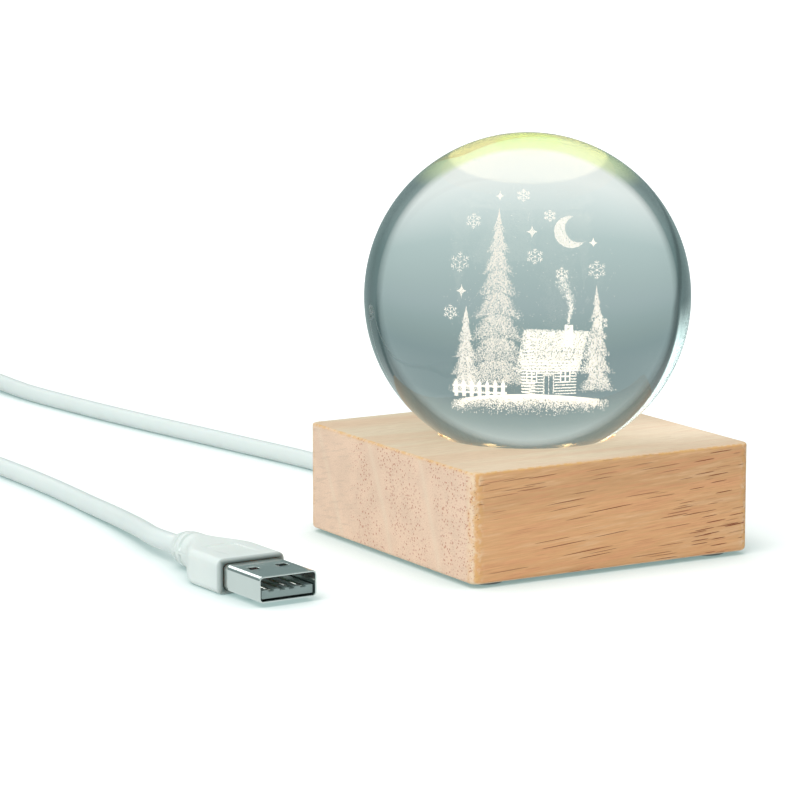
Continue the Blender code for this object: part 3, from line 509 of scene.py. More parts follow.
def wood_material():
    """Pale sanded wood whose grain runs along X.

    Growth rings are circles round a pith line beside the block, bent by slow noise. Pores are
    long thin cells of a Voronoi pattern, so that they show as streaks along the grain and as dots
    in the end grain, and they crowd together in bands. The direction of the surface tells the end
    grain from the long grain, and the place tells the sanded edges.
    """
    paint = colours()
    recipe = Recipe("light wood", specular_ior_level=0.35)
    mix, span, streaks = recipe.mix, recipe.span, recipe.streaks
    tilt = (0, math.radians(3.5), 0)
    x, y, z = recipe.parts(recipe.place)
    slow = recipe.noise(recipe.mapped((9.0, 28.0, 28.0)), output="Color")
    shift = recipe.vector("MULTIPLY_ADD", slow, (0.006, 0.006, 0.006), (-0.003, -0.003, -0.003))
    bent = recipe.vector("ADD", recipe.place, shift)

    # Growth rings, counted outwards from the pith
    rings = recipe.off_axis(recipe.vector("ADD", bent, (0, -0.150, 0.045)), (0.0, 1.0, 1.0))
    off_line = abs(recipe.math("FRACT", recipe.math("DIVIDE", rings, 0.0185)) - 0.5)

    # Which way the surface faces
    facing = recipe.parts(recipe.value("NewGeometry", output="Normal"))
    end, side, level = (span(abs(part), 0.55, 0.90) for part in facing)

    # Pores: the wide ones, finer ones between them, and round dots that only the end grain has
    def pores(length, width, seed, reach, soft, pale, deep):
        """How much of a pore is here, where reach is its width, alone and with the pore's own tone."""
        moved = recipe.vector("ADD", bent, (seed, 2 * seed, 3 * seed))
        cells = recipe.mapped((1 / length, 1 / width, 1 / width), tilt, moved)
        found = recipe.node("TexVoronoi", {"Vector": cells, "Scale": 1.0, "Randomness": 1.0}).outputs
        pore = span(reach - Value(recipe, found["Distance"]), 0.0, soft)
        tone = recipe.parts(Value(recipe, found["Color"]))[0]
        return pore, pore * span(tone, 0.0, 1.0, pale, deep, smooth=False)

    wide_crowds, crowds = streaks((20.0, 110.0, 110.0), 1.0, 0.5, tilt), streaks((55.0, 420.0, 420.0), rotation=tilt)
    crowding = wide_crowds * 0.55 + crowds * 0.45
    # The pores' width: crowded on the long sides, evenly spread in the end grain, rare on the top
    bare = span(y, 0.010, 0.021, 1.0, 0.0)
    in_end = span(off_line, 0.02, 0.14, 0.05, 0.17) * bare
    in_side = span(crowding, 0.36, 0.56, 0.11, 0.24)
    in_top = span(crowding, 0.52, 0.68, 0.0, 0.14)
    width = in_side + (in_end - in_side) * end
    width = width + (in_top - width) * level
    wide_pore, wide_share = pores(0.0300, 0.00042, 0.0, width, 0.045, 0.35, 1.0)
    fine_share = pores(0.0150, 0.00034, 0.37, width, 0.06, 0.10, 0.45)[1]
    dot = pores(0.0200, 0.00074, 0.71, span(off_line, 0.04, 0.16, 0.0, 0.29) * bare, 0.04, 0.40, 0.95)[1] * end

    # Colours of the long grain and the end grain
    figure = streaks((11.0, 170.0, 170.0), 3.0, 0.55, tilt, bent)
    fibres = streaks((160.0, 3600.0, 3600.0), 3.0, 0.65, tilt)
    figured = span(figure, 0.32, 0.68)
    # The top turns tan with the figure, and towards +X as painted shade in place of the ball's own shadow
    tan_grain_and_painted_shade = recipe.math("MAXIMUM", figured, span(x, -0.02, 0.03, 0.0, 0.40))
    mottle = streaks((70.0, 900.0, 900.0), rotation=tilt)
    side_grain = mix(figured, paint.wood_side, shaded(paint.wood_side, 0.84))
    side_grain = mix(span(mottle, 0.50, 0.64, 0.0, 0.45), side_grain, (0.80, 0.38, 0.20))
    side_grain = mix(span(mottle, 0.34, 0.48, 0.45, 0.0), side_grain, (0.88, 0.58, 0.34))
    wood = mix(side, mix(tan_grain_and_painted_shade, paint.wood_pale, paint.wood_tan), side_grain)
    end_grain = mix(span(figure, 0.35, 0.65), paint.wood_end, shaded(paint.wood_end, 0.93))
    end_grain = mix(span(off_line, 0.0, 0.075, 0.45, 0.0), end_grain, (0.90, 0.74, 0.58))
    waves = streaks((400.0, 190.0, 1500.0), rotation=(math.radians(9.0), 0, 0), vector=bent)
    wavy = span(waves, 0.50, 0.66) * span(y, 0.004, 0.020, 0.0, 0.55)
    end_grain = mix(wavy, end_grain, shaded(paint.wood_end, 0.80))
    wood = mix(end, wood, end_grain)
    wood = mix(1.0, wood, recipe.ramp(fibres, (0.32, (0.86, 0.81, 0.76)), (0.66, (1.0, 1.0, 1.0))), "MULTIPLY")

    # The sanded edges, golden and pale in blotches, and the pores over everything
    half, high = float(WOOD_HIGH[0]), float(WOOD_HIGH[2])
    outer, inner = (recipe.math(operation, abs(x), abs(y)) for operation in ("MAXIMUM", "MINIMUM"))
    blotch = streaks((900.0, 900.0, 650.0), 2.0)
    upright = span(inner, half - 0.0030, half - 0.0012)
    rim = span(z, high - 0.0008, high - 0.0002) * span(outer, half - 0.0007, half - 0.0003)
    golden = upright * span(blotch, 0.42, 0.66, 0.0, 0.50)
    golden_rim = rim * span(blotch, 0.36, 0.64, 0.20, 0.70)
    wood = mix(upright * span(blotch, 0.34, 0.54, 0.5, 0.0), wood, (0.86, 0.68, 0.44))
    wood = mix(recipe.math("MAXIMUM", golden, golden_rim), wood, paint.wood_edge)
    weaker = 1.0 - level * 0.55
    wood = mix(fine_share * weaker, wood, (0.44, 0.14, 0.07))
    wood = mix(wide_share * weaker, wood, mix(end, paint.wood_pore, (0.46, 0.17, 0.10)))
    wood = mix(dot, wood, (0.48, 0.11, 0.05))
    relief = recipe.node("Bump", {"Height": fibres * 0.35 - wide_pore, "Distance": 0.00006, "Strength": 1.0})
    return recipe.finish(base_color=wood, roughness=span(fibres, 0.2, 0.8, 0.52, 0.66), normal=relief)


# Camera, light and floor


def make_camera():
    """The camera at the photograph's angle, level, without depth of field."""
    data = bpy.data.cameras.new("camera")
    data.lens, data.sensor_width = 172.3, 36.0
    camera = in_scene("camera", data)
    aimed(camera, (-0.40762, -0.64801, 0.16323), (0.02869, 0.10027, 0.01177))
    bpy.context.scene.camera = camera


def make_world():
    """White where it is seen, and an even soft light elsewhere."""
    world = bpy.data.worlds.new("studio")
    bpy.context.scene.world = world
    world.use_nodes = True
    world.node_tree.nodes.clear()
    nodes = Nodes(world.node_tree)
    light = nodes.node("Background", {"Color": (0.97, 1.0, 1.0), "Strength": 0.62})
    white = nodes.node("Background", {"Color": (1.0, 1.0, 1.0)})
    nodes.node("OutputWorld", {"Surface": nodes.node("MixShader", {0: nodes.shown_rays(), 1: light, 2: white})})


def floor_material():
    """A pale floor: matt, and where it is seen also lit by itself, more so away from the lamp."""
    recipe = Recipe("pale floor")
    mix = recipe.mix
    grain = recipe.noise(recipe.place, 300.0, 2.0)
    matt = recipe.node("BsdfDiffuse", {"Color": mix(grain, (0.80, 0.84, 0.84), (0.82, 0.86, 0.86))})
    # Ambient occlusion darkens the seen floor close to things: a painted contact shadow over the real shadow
    near = recipe.value("AmbientOcclusion", {"Distance": 0.014}, "AO", samples=8)
    open_share = recipe.span(near, 0.35, 0.97, smooth=False)
    seen = recipe.node("BsdfDiffuse", {"Color": mix(open_share, (0.42, 0.44, 0.44), (0.74, 0.68, 0.68))})
    out = recipe.vector("LENGTH", recipe.place)
    glow = mix(recipe.span(out, 0.10, 0.50), (0.36, 0.47, 0.46), (0.80, 0.84, 0.84))
    even = recipe.node("Emission", {"Color": mix(open_share, (0.20, 0.30, 0.29), glow), "Strength": 1.0})
    both = recipe.node("AddShader", {0: seen, 1: even})
    return recipe.show(recipe.node("MixShader", {0: recipe.shown_rays(), 1: matt, 2: both}))


# Tones of the studio by the sine of the height angle, as the photograph's clear glass and its satin metal show it
STUDIO_TONES = (
    (-0.80, (0.84, 0.90, 0.84)),
    (-0.60, (0.84, 0.90, 0.86)),
    (-0.49, (0.82, 0.89, 0.86)),
    (-0.42, (0.68, 0.78, 0.76)),
    (-0.318, (0.475, 0.597, 0.583)),
    (-0.19, (0.40, 0.51, 0.50)),
    (-0.11, (0.36, 0.46, 0.46)),
    (-0.03, (0.30, 0.40, 0.395)),
    (0.04, (0.26, 0.35, 0.345)),
    (0.12, (0.215, 0.30, 0.305)),
    (0.36, (0.215, 0.30, 0.305)),
    (0.52, (0.315, 0.415, 0.405)),
    (0.70, (0.55, 0.65, 0.63)),
    (1.00, (0.80, 0.88, 0.86)),
)
SATIN_TONES = (
    (-0.40, (0.66, 0.74, 0.725)),
    (-0.02, (0.58, 0.66, 0.645)),
    (0.02, (0.05, 0.07, 0.07)),
    (0.16, (0.22, 0.29, 0.285)),
    (0.40, (0.24, 0.31, 0.305)),
    (0.70, (0.60, 0.68, 0.66)),
    (1.00, (0.85, 0.92, 0.90)),
)


def surround_material():
    """Light given off by the studio's walls, whose tone follows the height angle seen from the ball."""
    recipe = Recipe("studio surround")
    towards = recipe.vector("ADD", recipe.place, tuple(-c for c in BALL_CENTRE))
    x, y, height = recipe.parts(recipe.vector("NORMALIZE", towards))
    turn = recipe.math("ARCTAN2", y, x)
    share = recipe.span(height, -1.0, 1.0, smooth=False)
    tone, satin_tone = (
        recipe.ramp(share, *((0.5 + 0.5 * place, shade) for place, shade in tones))
        for tones in (STUDIO_TONES, SATIN_TONES)
    )
    # A tall white panel at the back on the left, with a narrow black flag along its near edge
    near, far = math.radians(115.0), math.radians(150.0)
    panel = recipe.band(turn, near, near + 0.06, far, far + 0.1)
    refracted = recipe.math("SUBTRACT", recipe.ray("Is Transmission Ray"), recipe.mirrored(), clamp=True)
    panel = panel * (recipe.span(height, -0.05, 0.30) * refracted)
    tone = recipe.mix(panel, tone, (7.0, 7.2, 7.0))
    flag = recipe.band(turn, near - 0.14, near - 0.05, near - 0.02, near + 0.05)
    tone = recipe.mix(flag * 0.75, tone, (0.06, 0.09, 0.09))
    # Satin metal, unlike glass, shows a grey floor, a dark horizon and a bright panel high at the back
    satin = recipe.ray("Is Glossy Ray") * (1.0 - recipe.ray("Is Singular Ray"))
    window = recipe.band(turn, 1.20, 1.35, 1.85, 2.00) * recipe.band(height, 0.40, 0.45, 0.50, 0.55)
    tone = recipe.mix(satin, tone, recipe.mix(window, satin_tone, (2.6, 2.7, 2.65)))
    return recipe.show(recipe.node("Emission", {"Color": tone, "Strength": 1.0}))


def glow_material():
    """A painted reflection: the glow of the seat as the ball's inner reflection shows it, yellow over the LEDs, cream
    around.

    It is clear for every ray that hasn't been mirrored, so the window and the seat are seen as
    they are. Its outer end is soft.
    """
    recipe = Recipe("seat glow")
    out = recipe.off_axis(recipe.place)
    tone = recipe.mix(recipe.span(out, 0.0096, 0.0108), (0.96, 1.0, 0.40), (1.0, 0.815, 0.55))
    light = recipe.node("Emission", {"Color": tone, "Strength": 3.2})
    shown = recipe.mirrored() * recipe.span(out, 0.0174, 0.0184, 1.0, 0.0)
    return recipe.show(recipe.node("MixShader", {0: shown, 1: recipe.node("BsdfTransparent"), 2: light}))


def make_stage():
    """The floor, and the studio's walls, which only metal and glass show.

    The floor is rings round the lamp. The walls turn a profile round the upright axis: a flat
    skirt on the floor outside the base, a wide quarter curve up, and a dome over the lamp.
    """

    def surface(name, profile, tip, material, *hidden_from):
        """A profile turned round the upright axis, closed by a fan round a point at the height tip."""
        grid = rod_grid(profile, 96)
        rows, columns = grid.shape[:2]
        points = np.concatenate([grid.reshape(-1, 3), [(0, 0, tip)]])
        fan = fan_faces(rows * columns, (rows - 1) * columns, columns)
        made = placed(name, mesh_from(name, points, grid_faces(rows, columns), fan), material)
        hidden(made, *hidden_from)
        return made

    turn = np.linspace(0, 0.5 * math.pi, 24)
    skirt = [(0.0004, r) for r in np.geomspace(0.0475, 1.6, 14)]
    curve = [(0.0004 + 0.6 * (1 - math.cos(t)), 1.6 + 0.6 * math.sin(t)) for t in turn[1:]]
    dome = [(0.6 + 2.0 * math.sin(t), 2.2 * math.cos(t)) for t in turn[1:-1]]
    dish = ball_profile(np.linspace(math.radians(33.8), 0, 32)[:-1], BALL_RADIUS + 0.00012)
    unseen = ("camera", "diffuse", "shadow", "volume_scatter")
    surface("floor", [(0.0, radius) for radius in np.geomspace(6.0, 0.05, 12)], 0, floor_material())
    surface("studio_walls", skirt + curve + dome, 2.6, surround_material(), *unseen)
    surface("seat_glow", dish, BALL_CENTRE[2] - BALL_RADIUS - 0.00012, glow_material(), "glossy", *unseen)


def make_light(kind, name, power, tint, **settings):
    """A light that brightens surfaces and never shows."""
    data = bpy.data.lights.new(name, kind)
    data.energy, data.color = power, tint
    for setting, value in settings.items():
        setattr(data, setting, value)
    light = in_scene(name, data)
    hidden(light, "camera", "glossy", "transmission")
    return light


def make_lights():
    """One large soft light from the upper left, the patch beside the ball, and a warm glimmer in the slit.

    The patch is the bright spot that the ball gathers on the wood to its right.
    """
    far = sizes().key_distance
    key = make_light("AREA", "key_light", 9.5, (1.0, 0.99, 0.97), size=0.9)
    aimed(key, (-0.52 * far, -0.26 * far, 0.81 * far), (0, 0, 0.02))
    cone = {"shadow_soft_size": 0.008, "spot_size": math.radians(18.0), "spot_blend": 1.0}
    patch = make_light("SPOT", "patch_light", 0.34, (0.80, 0.88, 1.0), **cone)
    aimed(patch, (0.100, -0.050, 0.090), (0.022, -0.009, 0.022))
    radius, height = 0.0168, 0.0216
    for i in range(6):
        angle = math.pi * (i + 0.5) / 3
        light = make_light("POINT", f"slit_light_{i + 1}", 0.0005, (1.0, 0.86, 0.50), shadow_soft_size=0.0006)
        light.location = (radius * math.cos(angle), radius * math.sin(angle), height)


# Glass ball and its engraving


def make_ball():
    """The ball: each point is the centre plus the radius along a direction given by two angles."""
    polar = np.linspace(0, math.pi, 151)[1:-1]
    points, quads, fans = closed(rod_grid(ball_profile(polar, BALL_RADIUS), 300))
    points[-2:] = (0, 0, BALL_LOW[2]), (0, 0, BALL_HIGH[2])
    recipe = Recipe("clear crystal", transmission_weight=1.0, ior=1.517, roughness=0.0)
    # Painted shade darkens the glass at its rim, and a painted yellow glow of the LEDs tints the rim near the top
    edge = recipe.value("LayerWeight", {"Blend": 0.5}, "Facing")
    clear = (0.53, (1.0, 1.0, 1.0))
    dark = recipe.ramp(edge, clear, (0.62, (0.10, 0.15, 0.15)), (0.72, (0.05, 0.08, 0.08)), (0.95, (0.08, 0.12, 0.12)))
    yellow = recipe.ramp(edge, clear, (0.58, (0.80, 0.97, 0.42)), (0.80, (0.66, 0.86, 0.28)))
    up = recipe.parts(recipe.place)[2]
    top = BALL_CENTRE[2] + BALL_RADIUS
    crystal = recipe.finish(base_color=recipe.mix(recipe.span(up, top - 0.0100, top - 0.0035), dark, yellow))
    mesh = mesh_from("glass_ball", points, quads, fans)
    hidden(piece("glass_ball", mesh, crystal, "ball", "crystal", "crystal_ball"), "shadow")


def disc_of(rng, count):
    """Evenly spread places in a unit disc."""
    return np.sqrt(rng.random(count)), rng.uniform(0, 2 * math.pi, count)


def snow_ground(rng, count):
    """A low mound: its height falls with the square of the distance, and its rim breaks up."""
    share, angle = disc_of(rng, count)
    reach = share * (1 + 0.07 * np.sin(5 * angle + 1) + 0.05 * np.sin(11 * angle))
    up = -13.2 - 0.9 * share**2 - 1.5 * share**8 * rng.random(count)
    return points_at(9.9 * reach * np.cos(angle), 4.6 * reach * np.sin(angle), up)


def fir(rng, count, place, height, radius, tiers):
    """A cone of drooping branches: its radius grows down each tier and steps in again under it."""
    down = rng.random(count) ** 0.6
    tier, inside = np.divmod(down * tiers, 1)
    angle = rng.uniform(0, 2 * math.pi, count)
    lobes = 1 - 0.30 * np.abs(np.sin(4.5 * angle + 1.3 * tier)) ** 0.8
    share = 1 - 0.75 * rng.random(count) ** 1.5
    reach = radius * down**0.85 * (0.55 + 0.45 * inside) * lobes * share
    up = height * (1 - 0.93 * down) - 0.10 * radius * share**2
    return points_at(reach * np.cos(angle), reach * np.sin(angle), up) + place


def cottage(rng, count, place, turn):
    """A small house: plank walls with a door and lit windows, and a steep roof thick with snow.

    Walls are upright planes whose dots lie in level rows, the roof is two sloping planes, and
    the chimney is a square tube with smoke that widens as it rises.
    """
    width, deep, wall, ridge, eave, plank = 4.1, 2.6, 4.6, 8.8, 1.28, 0.42
    half, proud = count // 2, -deep - 0.05

    def in_rows(top, number):
        """Heights up to a top, in level rows."""
        return np.round(rng.uniform(0, top, number) / plank) * plank + rng.normal(0, 0.035, number)

    rows = in_rows(wall, count)
    across = rng.uniform(-width, width, count)
    off_middle = np.abs(across + 0.1)
    door = (off_middle < 0.85) & (rows < 2.9)
    panes = (np.abs(off_middle - 2.5) < 0.85) & (np.abs(rows - 2.5) < 0.95)
    front = points_at(across, -deep, rows)[~(door | panes)]
    frames = rng.uniform(-1, 1, (half, 2))
    off = np.abs(frames)
    frames = frames[(off.max(axis=1) > 0.82) | (off.min(axis=1) < 0.10)]
    windows = [points_at(x + 0.78 * frames[:, 0], proud, 2.5 + 0.88 * frames[:, 1]) for x in (-2.6, 2.4)]
    leaf_x, leaf_up = rng.uniform(0, 1, (count // 6, 2)).T
    off = np.abs(leaf_x - 0.5)
    kept = (off > 0.40) | (leaf_up > 0.92) | (off < 0.03)
    door_leaf = points_at(-0.1 + 1.6 * (leaf_x - 0.5), proud, 2.8 * leaf_up)[kept]
    gable = rng.uniform(-1, 1, half)
    gable_up = in_rows(ridge, half)
    kept = gable_up < wall + (ridge - wall) * (1 - np.abs(gable))
    side = points_at(-width, deep * gable, gable_up)[kept]
    slope = rng.uniform(0, 1, 2 * count)
    sign = np.where(rng.random(2 * count) < 0.7, -1.0, 1.0)
    over = rng.uniform(-width - 0.6, width + 0.6, 2 * count)
    thick = 0.55 * rng.random(2 * count) ** 2 - 0.12 * np.sin(5 * slope)
    roof = points_at(over, sign * deep * eave * slope, ridge - (ridge - wall) * eave * slope - thick)
    stack = rng.uniform(-1, 1, (count // 4, 3))
    stack[:, 0] = np.where(rng.random(len(stack)) < 0.5, stack[:, 0], np.sign(stack[:, 0]))
    chimney = points_at(2.2 + 0.5 * stack[:, 0], -0.9 - 0.5 * np.abs(stack[:, 1]), 8.1 + 1.5 * stack[:, 2])
    rise = rng.random(count // 9) ** 0.8
    drift = (0.18 + 0.75 * rise)[:, None] * rng.normal(0, 0.5, (len(rise), 3))
    smoke = points_at(2.2 + 1.1 * np.sin(5 * rise) * rise, -1.2, 9.8 + 6.2 * rise) + drift
    return turned(np.concatenate([front, *windows, door_leaf, side, roof, chimney, smoke]), turn) + place


def moon(rng, count, place, radius):
    """A crescent: a disc without the part that a second disc covers."""
    share, angle = disc_of(rng, count)
    flat = share * np.exp(1j * angle)
    flat = radius * flat[np.abs(flat - (0.52 + 0.20j)) > 0.86]
    return points_at(flat.real, rng.normal(0, 0.15, len(flat)), flat.imag) + place


def fence(rng, count, place, posts, gap, turn):
    """Pointed pales side by side, with two rails behind them."""
    height, pale_half = 2.5, 0.27
    pale = rng.integers(0, posts, count)
    across = rng.uniform(-pale_half, pale_half, count)
    up = rng.uniform(0, height, count)
    pales = points_at(pale * gap + across, rng.normal(0, 0.03, count), up)[up < height - 1.9 * np.abs(across)]
    rail = rng.integers(0, 2, count // 2)
    along = rng.uniform(-0.5, (posts - 1) * gap + 0.5, count // 2)
    rails = points_at(along, 0.2, 0.65 + 0.95 * rail + rng.uniform(-0.12, 0.12, count // 2))
    return turned(np.concatenate([pales, rails]), turn) + place


def snowflakes(rng, count, places):
    """Six arms, each with two pairs of side twigs: places are (across, deep, up, radius)."""
    places = np.array(places, float)
    chosen = places[rng.integers(0, len(places), count)]
    arm = np.exp(1j * math.pi / 3 * rng.integers(0, 6, count))
    along = rng.random(count)
    twig = rng.integers(0, 3, count)
    root = np.array([0.0, 0.45, 0.72])[twig]
    turn = np.where(twig == 0, 0.0, np.where(rng.random(count) < 0.5, 1.0, -1.0)) * math.pi / 3
    reach = np.array([1.0, 0.34, 0.24])[twig]
    flat = arm * (root + reach * along * np.exp(1j * turn)) * 1j
    flat += 0.022 * (rng.normal(size=count) + 1j * rng.normal(size=count))
    return chosen[:, :3] + points_at(flat.real, 0, flat.imag) * chosen[:, 3:]


def sparkles(rng, count, places):
    """Four-pointed stars with hollow sides: the roots of both distances add up to less than one."""
    places = np.array(places, float)
    flat = rng.uniform(-1, 1, (6 * count, 2))
    flat = flat[(np.abs(flat) ** 0.52).sum(axis=1) < 1][:count]
    chosen = places[rng.integers(0, len(places), len(flat))]
    return chosen[:, :3] + points_at(0.75 * flat[:, 0], 0, flat[:, 1]) * chosen[:, 3:]


def loose_snow(rng, count):
    """Single flakes all over the upper part of the picture."""
    share, angle = disc_of(rng, count)
    return points_at(11.5 * share * np.cos(angle), rng.normal(0, 3.0, count), 2.0 + 13.0 * share * np.sin(angle))


def dots_mesh(name, places, radii):
    """An eight-sided dot at each place: six corners, one each way along each axis."""
    corners = np.concatenate([np.eye(3), -np.eye(3)])
    points = places[:, None, :] + radii[:, None, None] * corners[None]
    faces = np.array([(0, 1, 2), (1, 3, 2), (3, 4, 2), (4, 0, 2), (1, 0, 5), (3, 1, 5), (4, 3, 5), (0, 4, 5)])
    return mesh_from(name, points, (faces[None] + 6 * np.arange(len(places))[:, None, None]).reshape(-1, 3))


def make_engraving():
    """A winter scene of fine dots inside the glass, turned to face the front of the lamp.

    Its forms are drawn in millimetres from the ball's centre.
    """
    rng = np.random.default_rng(20)
    flakes = (
        (-9.2, 0, 4.6, 1.45), (-7.4, 1, 10.2, 1.15), (1.0, -1, 5.6, 1.2), (9.4, 0, 3.6, 1.35), (-0.6, 1, 13.9, 1.0),
        (3.0, 1, 10.9, 0.9), (9.9, 0, -3.6, 1.0), (-10.3, 0, -2.2, 1.05), (4.6, 0, 3.0, 0.95),
    )  # fmt: skip
    gleams = (
        (-9.0, -1, 0.8, 1.1), (0.6, -2, 9.4, 1.2), (9.0, 0, 7.4, 0.9), (-4.0, -1, 14.6, 0.9), (9.6, -3, -15.0, 1.1),
    )  # fmt: skip
    small = ((5200, (-8.3, -1.0, -13.6), 12.5, 2.9, 5), (4600, (9.0, 2.2, -13.4), 14.5, 2.9, 6))
    groups = {
        "snowy_ground": (1.05, [snow_ground(rng, 13000)]),
        "tall_fir": (0.75, [fir(rng, 15000, (-3.9, 1.2, -13.2), 25.2, 5.9, 8)]),
        "small_firs": (0.85, [fir(rng, *wanted) for wanted in small]),
        "cottage": (1.1, [cottage(rng, 5200, (4.0, -0.2, -13.3), math.radians(-20.0))]),
        "fence": (1.1, [fence(rng, 4600, (-10.0, -3.2, -13.9), 7, 1.12, math.radians(-8.0))]),
        "sky": (
            0.95,
            [
                moon(rng, 5200, (5.9, 0.0, 8.9), 2.3),
                snowflakes(rng, 4200, flakes),
                sparkles(rng, 1500, gleams),
                loose_snow(rng, 420),
            ],
        ),
    }
    # The dots give off light of their own: a painted glow in place of the LED light that they scatter
    finish = {"base_color": (0.35, 0.35, 0.34), "roughness": 0.9, "emission_color": tuple(colours().engraving)}
    for name, (glow, parts) in groups.items():
        places = turned(np.concatenate(parts) * MM, math.radians(-32.2)) + BALL_CENTRE
        radii = sizes().dot_radius * (0.8 if name == "sky" else 1.0) * rng.uniform(0.75, 1.2, len(places))
        dots = Recipe(f"engraved dots {name.replace('_', ' ')}", emission_strength=glow, **finish).material
        made = piece(f"engraved_{name}", dots_mesh(name, places, radii), dots, "ball", "crystal")
        hidden(made, "shadow", "diffuse")


# Wooden base


def make_wood():
    """The block as one closed skin, in rows from the underside up the sides, over the top and down the bore.

    A row is the rounded square drawn in by an inset, or a circle, or a share of the way between
    them, at one height. The edges round the top and the underside are quarter circles. The holes
    for the lead, the pads and the screws are cut out afterwards.
    """
    size = sizes()
    half = float(WOOD_HIGH[0])
    low, high = float(WOOD_LOW[2]), float(WOOD_HIGH[2])
    outline, normal = rounded_outline(half, half, size.corner_round, (26, 26), 10)
    circle = np.exp(1j * np.angle(outline))
    arc = [(1 - math.cos(t), 1 - math.sin(t)) for t in np.linspace(0, 0.5 * math.pi, 7)]

    def square(inset, height):
        flat = outline - inset * normal
        return points_at(flat.real, flat.imag, height)

    def round_at(radius, height):
        return points_at(radius * circle.real, radius * circle.imag, height)

    bottom = [square(size.bottom_round * inset, low + size.bottom_round * rise) for rise, inset in arc]
    sides = [square(0, low + share * (high - low)) for share in (0.2, 0.4, 0.6, 0.8)]
    top = [square(size.top_round * inset, high - size.top_round * drop) for inset, drop in arc]
    lip, clearance = 0.0003, 0.0003
    mouth = [(MOUTH_RADIUS + lip * out, high - lip * drop) for drop, out in arc]
    edge, hole = top[-1], round_at(*mouth[0])
    across = [edge + share * (hole - edge) for share in (0.03, 0.2, 0.45, 0.7, 0.9, 0.98)]
    seat_ball = BALL_RADIUS + clearance
    seat = [(r * MM, BALL_CENTRE[2] - math.sqrt(seat_ball**2 - (r * MM) ** 2)) for r in SEAT_RADII]
    ledge = seat[0][1]
    bore = [*mouth, (MOUTH_RADIUS, ledge + lip), (MOUTH_RADIUS - lip, ledge), *seat]
    bore += [(radius * MM, height * MM) for radius, height in BORE_STEPS]
    bore.append((BORE_STEPS[-1][0] * MM, low))
    inside = [round_at(radius, height) for radius, height in bore]
    last, first = inside[-1], bottom[0]
    under = [last + share * (first - last) for share in (0.1, 0.5, 0.9)]
    grid = np.stack([*bottom, *sides, *top, *across, *inside, *under])
    mesh = turned_out(mesh_from("wood_block", grid, grid_faces(len(grid), len(outline), round_rows=True)))
    block = piece("wood_block", mesh, wood_material(), "base", "light_wood", "wood_base")

    # Holes in millimetres: the lead's in the back wall, the pads' pockets and the screws', as (place, radius)
    cutters = [rod_grid(MM * np.array(((17, 2.15), (32.2, 2.15), (34.2, 4.15))), 48, (0, 6.9 * MM), "Y")]
    for x, y in ((1, 1), (-1, 1), (-1, -1), (1, -1)):
        cutters.append(rod_grid(MM * np.array(((-1, 4.3), (1.3, 4.3))), 48, (26.2 * MM * x, 26.2 * MM * y)))
    for count, start, radius, bottom_mm, top_mm in ((3, 30, 15.8, 14.2, 18.4), (4, 45, 21.5, 2.4, 8.5)):
        for angle in (math.radians(start + 360 * i / count) for i in range(count)):
            centre = (radius * MM * math.cos(angle), radius * MM * math.sin(angle))
            cutters.append(rod_grid(MM * np.array(((bottom_mm, 1.1), (top_mm, 1.1))), 20, centre))
    cutter = placed("hole_cutters", turned_out(mesh_from("hole_cutters", *closed(*cutters))), block.data.materials[0])
    modified(block, "BOOLEAN", operation="DIFFERENCE", solver="EXACT", object=cutter)
    bpy.data.objects.remove(cutter, do_unlink=True)
    block.data.shade_smooth()
    sharpened(block.data, 30)


# Lead and plug


def smooth_route(points, step):
    """Places a step apart on the smooth curve through the points, whose pace follows their spacing.

    Between two points the curve is the Catmull-Rom blend of the four nearest, with knots spaced
    by the square roots of the distances.
    """
    points = np.array(points, float)
    p = np.vstack([2 * points[0] - points[1], points, 2 * points[-1] - points[-2]])
    knots = np.concatenate([[0], np.cumsum(np.sqrt(np.linalg.norm(np.diff(p, axis=0), axis=1)))])
    t0, t1, t2, t3 = (knots[i : len(p) - 3 + i, None, None] for i in range(4))
    p0, p1, p2, p3 = (p[i : len(p) - 3 + i, None, :] for i in range(4))
    t = t1 + (t2 - t1) * np.linspace(0, 1, 24, endpoint=False)[None, :, None]

    def between(first, second, start, end):
        return ((end - t) * first + (t - start) * second) / (end - start)

    a1, a2, a3 = between(p0, p1, t0, t1), between(p1, p2, t1, t2), between(p2, p3, t2, t3)
    curve = between(between(a1, a2, t0, t2), between(a2, a3, t1, t3), t1, t2)
    fine = np.vstack([curve.reshape(-1, 3), points[-1:]])
    along = np.concatenate([[0], np.cumsum(np.linalg.norm(np.diff(fine, axis=0), axis=1))])
    wanted = np.linspace(0, along[-1], max(2, round(along[-1] / step)) + 1)
    return np.stack([np.interp(wanted, along, fine[:, axis]) for axis in range(3)], axis=1)


def coil_line():
    """The coil: a spiral in and out again, whose height steps up half way, with straight ends."""
    turn = np.linspace(0, COIL_TURNS, round(COIL_TURNS * 48) + 1)
    past_middle = turn - COIL_TURNS / 2
    radius = COIL_RADIUS + COIL_WIDENING * np.abs(past_middle)
    height = COIL_HEIGHT + COIL_STEP * smooth_step(past_middle / 0.5 + 0.5)
    flat = complex(*COIL_MIDDLE) + radius * np.exp(2j * math.pi * turn)
    line = points_at(flat.real, flat.imag, height)
    out = np.array((0, sizes().cord_diameter, 0))
    return np.vstack([line[0] - out, line, line[-1] - out])


def in_plug_frame(points):
    """Points of the plug's own frame, in the lamp's frame."""
    return turned(points, PLUG_TURN) + PLUG_PLACE


